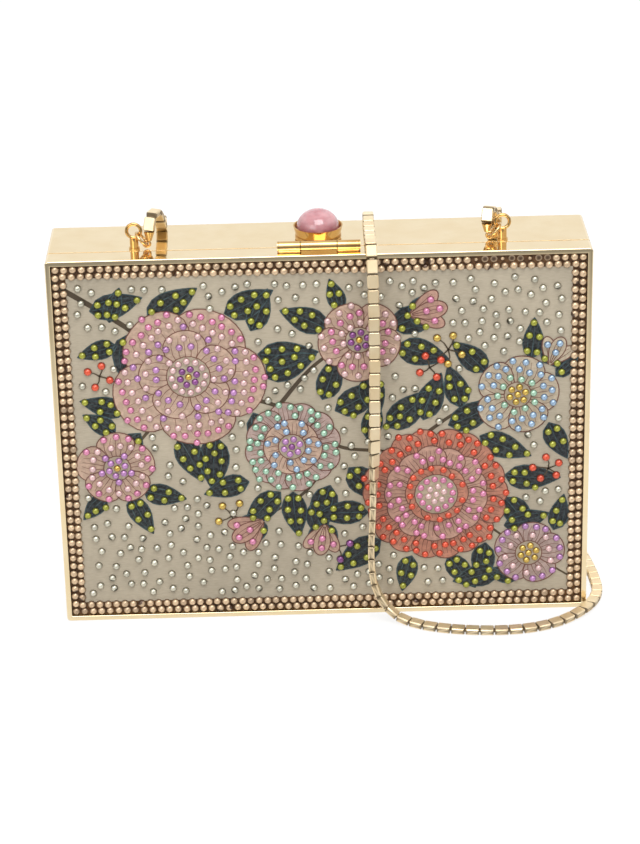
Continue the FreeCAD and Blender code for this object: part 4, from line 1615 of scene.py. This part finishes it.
@dataclass
class ClaspSaddle:
    """The wedge under the front of the clasp's moving barrel, hollowed to clear it."""

    hollow: float = 1.72
    front: float = -13.45
    back: float = -12.2
    foot: float = 125.0
    half: float = 5.5
    steps: int = 8

    def build(self) -> None:
        """The wedge, as one piece on the lid's top."""
        outline = [(self.back, self.foot), (self.front, self.foot)]
        for step in range(self.steps + 1):
            across = self.front + (self.back - self.front) * step / self.steps
            drop = math.sqrt(self.hollow ** 2 - (across - CLASP_AXIS[0]) ** 2)
            outline.append((across, CLASP_AXIS[1] - drop))
        count = len(outline)
        points = [Vector((end * self.half, *spot)) * MM for end in (-1, 1) for spot in outline]
        caps = [tuple(range(count)), tuple(reversed(range(count, 2 * count)))]
        buffer = MeshBuffer()
        buffer.add(points, band_faces(2, count, inward=True) + caps, [1.0] * len(points))
        buffer.piece("clasp_saddle", YELLOW_GILT, "lid", "fittings_metal")


@dataclass
class SlipPocket:
    """A soft leather pocket sewn to the back of the lining, open at its top."""

    wall: float = 12.4
    half_width: float = 58.0
    low: float = 14.0
    high: float = 76.0
    corner: float = 9.0
    flat: float = 0.9
    swell: float = 2.2
    seat: float = 0.02
    columns: int = 28
    rows: int = 16
    hem: tuple[float, float] = (0.7, 0.9)
    hem_drop: float = 0.6
    hem_sides: int = 8
    stitch: Place = (1.5, 0.3, 2.3)
    stitch_layers: tuple[Place, Place] = ((1.0, 1.0, 0.3), (0.8, 0.7, -0.24))
    stitch_tone: float = 0.9
    seam_inset: float = 2.0
    seam_ends: tuple[float, float] = (4.0, 2.0)
    seam_steps: int = 40

    def half_at(self, height: float) -> float:
        """Half of the pocket's width at a height, with its lower corners rounded."""
        short = max(0.0, self.corner - (height - self.low))
        return self.half_width - self.corner + math.sqrt(self.corner ** 2 - short ** 2)

    def rise(self, height: float) -> float:
        """How far up the pocket a height is, from 0 to 1."""
        return (height - self.low) / (self.high - self.low)

    def lift(self, share: float, rise: float) -> float:
        """How far the pocket stands off the wall in mm, at a share across and a rise."""
        return self.flat + self.swell * (1 - share ** 4) * math.sin(math.pi / 2 * rise) ** 0.8

    def heights(self) -> list[float]:
        """Heights of the pocket's rows in mm, closer together at its rounded foot."""
        shares = [row / self.rows for row in range(self.rows + 1)]
        return [self.low + (self.high - self.low) * share ** 1.5 for share in shares]

    def shares(self) -> list[float]:
        """How far across the pocket its columns are, from -1 to 1."""
        return [-1 + 2 * column / self.columns for column in range(self.columns + 1)]

    def build(self) -> None:
        """The pocket's swelling front, its hem and its seam."""
        points, faces = [], []
        wide = self.columns + 1
        for behind in (False, True):
            for height in self.heights():
                half = self.half_at(height)
                for share in self.shares():
                    depth = self.seat if behind else self.lift(share, self.rise(height))
                    points.append(Vector((share * half, self.wall - depth, height)) * MM)
        back = wide * (self.rows + 1)
        for row in range(self.rows):
            for column in range(self.columns):
                start = row * wide + column
                face = (start, start + 1, start + wide + 1, start + wide)
                faces += [face, tuple(back + face[corner] for corner in (0, 3, 2, 1))]
        edge = list(range(wide)) + [row * wide + self.columns for row in range(1, self.rows + 1)]
        edge += [self.rows * wide + column for column in range(self.columns - 1, -1, -1)]
        edge += [row * wide for row in range(self.rows - 1, 0, -1)]
        for first, last in zip(edge, edge[1:] + edge[:1]):
            faces.append((last, first, back + first, back + last))
        buffer = MeshBuffer()
        buffer.add(points, faces, [1.0] * len(points))
        buffer.piece("slip_pocket", POCKET_LEATHER, "rear_half", "lining", sharp=50)
        self.build_hem()
        self.build_seam()

    def build_hem(self) -> None:
        """The rolled hem along the pocket's mouth."""
        sides, (deep, tall) = self.hem_sides, self.hem
        turns = [math.tau * step / sides for step in range(sides)]
        points = [Vector((share * self.half_width,
                          self.wall - self.lift(share, 1.0) + deep * math.cos(turn),
                          self.high - self.hem_drop + tall * math.sin(turn))) * MM
                  for share in self.shares() for turn in turns]
        last = self.columns * sides
        caps = [tuple(reversed(range(sides))), tuple(range(last, last + sides))]
        buffer = MeshBuffer()
        buffer.add(points, band_faces(self.columns + 1, sides) + caps, [1.0] * len(points))
        buffer.piece("pocket_hem", POCKET_LEATHER, "rear_half", "lining", sharp=50)

    def build_seam(self) -> None:
        """Short stitches round the pocket, except along its mouth."""
        buffer = MeshBuffer()
        long, thick, pitch = self.stitch
        ring = ((-1, 0), (-0.6, 1), (0.6, 1), (1, 0), (0.6, -1), (-0.6, -1))
        faces = band_faces(2, len(ring)) + [(6, 7, 8, 9, 10, 11), (5, 4, 3, 2, 1, 0)]
        tall = self.high - self.low - sum(self.seam_ends)
        heights = [self.high - self.seam_ends[0] - tall * step / self.seam_steps
                   for step in range(self.seam_steps + 1)]
        left = [Vector((self.seam_inset - self.half_at(height), 0, height)) for height in heights]
        line = Course(left + [Vector((-point.x, 0, point.z)) for point in reversed(left)])
        for count in range(int(line.reach[-1] / pitch)):
            first, last, share = line.stretch((count + 0.5) * pitch)
            run, middle = (last - first).normalized(), first.lerp(last, share)
            middle.y = self.wall - self.lift(middle.x / self.half_at(middle.z), self.rise(middle.z))
            side = Vector((-run.z, 0, run.x))
            points = [(middle + run * (long / 2 * a * reach) + side * (thick * b * narrow)
                       + Vector((0, depth, 0))) * MM
                      for reach, narrow, depth in self.stitch_layers for a, b in ring]
            buffer.add(points, faces, [self.stitch_tone] * len(points))
        buffer.piece("pocket_stitches", THREAD, "rear_half", "lining", sharp=50)


CLASP_AXIS = (-12.0, 126.75)
LEAF_VEINS = (0.0, -0.55, 0.55)
PETAL_VEINS = (-0.62, -0.3, 0.0, 0.3, 0.62)
STEMS = (
    (((-84, 118), (-58, 100), (-40, 82), (-14, 74), (4, 60), (24, 56), (40, 42), (58, 26), (84, 8)),
     1.8),
    (((-14, 74), (-2, 88), (14, 98), (32, 104)), 1.5),
    (((24, 56), (42, 70), (60, 78)), 1.5),
    (((-40, 82), (-56, 66), (-66, 52)), 1.5),
    (((4, 60), (-6, 44), (-22, 34)), 1.5),
)
SMALL_BLOSSOMS = (
    ((-66, 54), 12.5, 20, Ink.BLUSH, (Stud.PINK, Stud.PALE, Stud.LILAC), (Stud.GOLD, Stud.LILAC)),
    ((12, 96), 13.5, 50, Ink.BLUSH, (Stud.PALE, Stud.PINK, Stud.PALE), (Stud.GOLD, Stud.PURPLE)),
    ((62, 76), 13.5, 5, Ink.CREAM, (Stud.BLUE, Stud.BLUE, Stud.MINT), (Stud.GOLD, Stud.GOLD)),
    ((66, 20), 11.5, 80, Ink.LILAC, (Stud.LILAC, Stud.PALE, Stud.PINK), (Stud.GOLD, Stud.GOLD)),
)
MINT_ROSETTE = ((-10, 60), 15.5, 12, (Ink.LILAC, Ink.BLUSH), (Stud.MINT, Stud.BLUE),
                (Stud.PURPLE, Stud.LILAC))
LARGE_BLOSSOM = ((-42, 85), 24.5, 62, Ink.BLUSH,
                 (Stud.PINK, Stud.PALE, Stud.LILAC, Stud.PALE, Stud.PINK),
                 (Stud.GOLD, Stud.PURPLE, Stud.PALE))
CORAL_ROSETTE = ((36, 42), 23.5, 0, (Ink.CORAL, Ink.ROSE, Ink.CORAL),
                 (Stud.CORAL, Stud.PINK, Stud.CORAL), (Stud.PALE, Stud.PALE, Stud.PINK))
LEAVES = (
    ((-72, 108), 8, 17, 0.1), ((-66, 104), 78, 12, -0.1), ((-60, 100), -100, 18, 0.1),
    ((-64, 96), 190, 13, 0.1), ((-54, 104), 40, 19, -0.1), ((-30, 106), 20, 17, 0.1),
    ((-22, 100), 62, 15, 0.1), ((-20, 92), -6, 19, 0.12), ((-18, 84), 30, 18, -0.1),
    ((-22, 72), -70, 17, 0.1), ((-34, 64), -100, 19, 0.1), ((-46, 64), -60, 17, -0.1),
    ((-58, 66), -130, 16, 0.1), ((-62, 74), 172, 15, -0.1), ((-66, 66), 140, 12, 0.1),
    ((-62, 44), -70, 15, 0.1), ((-70, 44), -140, 11, 0.1), ((-58, 46), -20, 14, 0.1),
    ((0, 76), 66, 16, 0.1), ((4, 72), 24, 18, 0.1), ((2, 100), 150, 16, 0.1),
    ((6, 106), 100, 11, 0.1), ((22, 100), 22, 18, -0.1), ((24, 94), -24, 17, 0.1),
    ((14, 84), -70, 15, -0.1), ((8, 52), -50, 17, 0.1), ((2, 46), -110, 18, 0.1),
    ((-14, 44), -140, 17, 0.1), ((-24, 48), -170, 15, 0.1), ((-4, 40), -70, 14, -0.1),
    ((14, 62), 70, 14, 0.1), ((20, 66), 34, 19, 0.1), ((32, 68), 76, 17, -0.1),
    ((40, 66), 20, 18, 0.1), ((50, 62), -30, 18, 0.1), ((58, 48), -10, 18, 0.1),
    ((58, 40), -50, 17, -0.1), ((52, 24), -100, 15, 0.1), ((40, 20), -60, 15, 0.1),
    ((28, 20), -110, 13, 0.1), ((18, 26), -150, 18, 0.1), ((14, 36), 176, 17, 0.1),
    ((72, 66), -70, 14, 0.1), ((52, 84), 130, 15, 0.1), ((66, 88), 80, 14, 0.1),
    ((74, 82), 40, 10, 0.1), ((58, 30), 10, 15, 0.1), ((74, 28), 70, 13, 0.1),
    ((56, 14), 200, 15, -0.1), ((62, 10), 150, 11, 0.1), ((-10, 44), -90, 16, 0.1),
    ((44, 72), 100, 15, 0.1),
)
BERRIES = (
    ((40, 92), Stud.GOLD, 5, 6.0), ((34, 86), Stud.CORAL, 4, 4.5), ((-30, 36), Stud.GOLD, 5, 5.0),
    ((72, 50), Stud.CORAL, 5, 4.5), ((-70, 86), Stud.CORAL, 4, 4.0), ((4, 24), Stud.PURPLE, 4, 4.5),
)
BUDS = (
    ((28, 104), 12, 12, Ink.ROSE, Stud.PINK), ((-20, 34), 215, 12, Ink.ROSE, Stud.PINK),
    ((0, 32), -100, 11, Ink.BLUSH, Stud.PINK), ((72, 86), 66, 10, Ink.CREAM, Stud.BLUE),
)


FRAME_EDGE = 0.3 * MM
CLASP_EDGE = 0.14 * MM
BOARD_FACE = 14.8
FRONT_LOST = (46.6, 72.2)
NONE_LOST = (0.0, 0.0)


def main() -> None:
    """Builds the studio and the bag's pieces in order."""
    logging.basicConfig(level=logging.INFO, format="%(name)s %(message)s")
    Studio().build()
    ShoulderChain().build()
    dress(CHAMPAGNE, "lid_frame", "rear_frame", "closing_lip")
    ease(FRAME_EDGE, "lid_frame", "rear_frame")
    dress(GROUND_SATIN, "front_panel", "rear_panel")
    front = Board(-BOARD_FACE, -1, "lid", "front")
    back = Board(BOARD_FACE, 1, "rear_half", "back")
    for board, lost in ((front, FRONT_LOST), (back, NONE_LOST)):
        bed = StudBed(board)
        StudBorder(board, bed, lost=lost).build()
        GardenPrint(board, bed, plain=board is back).build()
        bed.build()
    dress(YELLOW_GILT, "clasp_left_knuckle", "clasp_right_knuckle", "clasp_lever", "clasp_pin",
          "stone_setting", "left_post", "right_post", "left_nut", "right_nut", "rear_hinge_leaf",
          "lid_hinge_leaf", "hinge_pin", "catch_rivets")
    ease(CLASP_EDGE, "clasp_left_knuckle", "clasp_right_knuckle", "clasp_lever")
    # Dark washers that paint the shade in the clasp barrel's splits.
    ClaspGapShades().build()
    ClaspSaddle().build()
    dress(RING_GILT, "left_end_ring", "right_end_ring", "left_chain_end", "right_chain_end")
    dress(SPRING_STEEL, "catch_spring")
    dress(ROSE_STONE, "cabochon")
    dress(GOLD_LEATHER, "lid_lining", "rear_lining")
    SlipPocket().build()


if __name__ == "__main__":
    main()
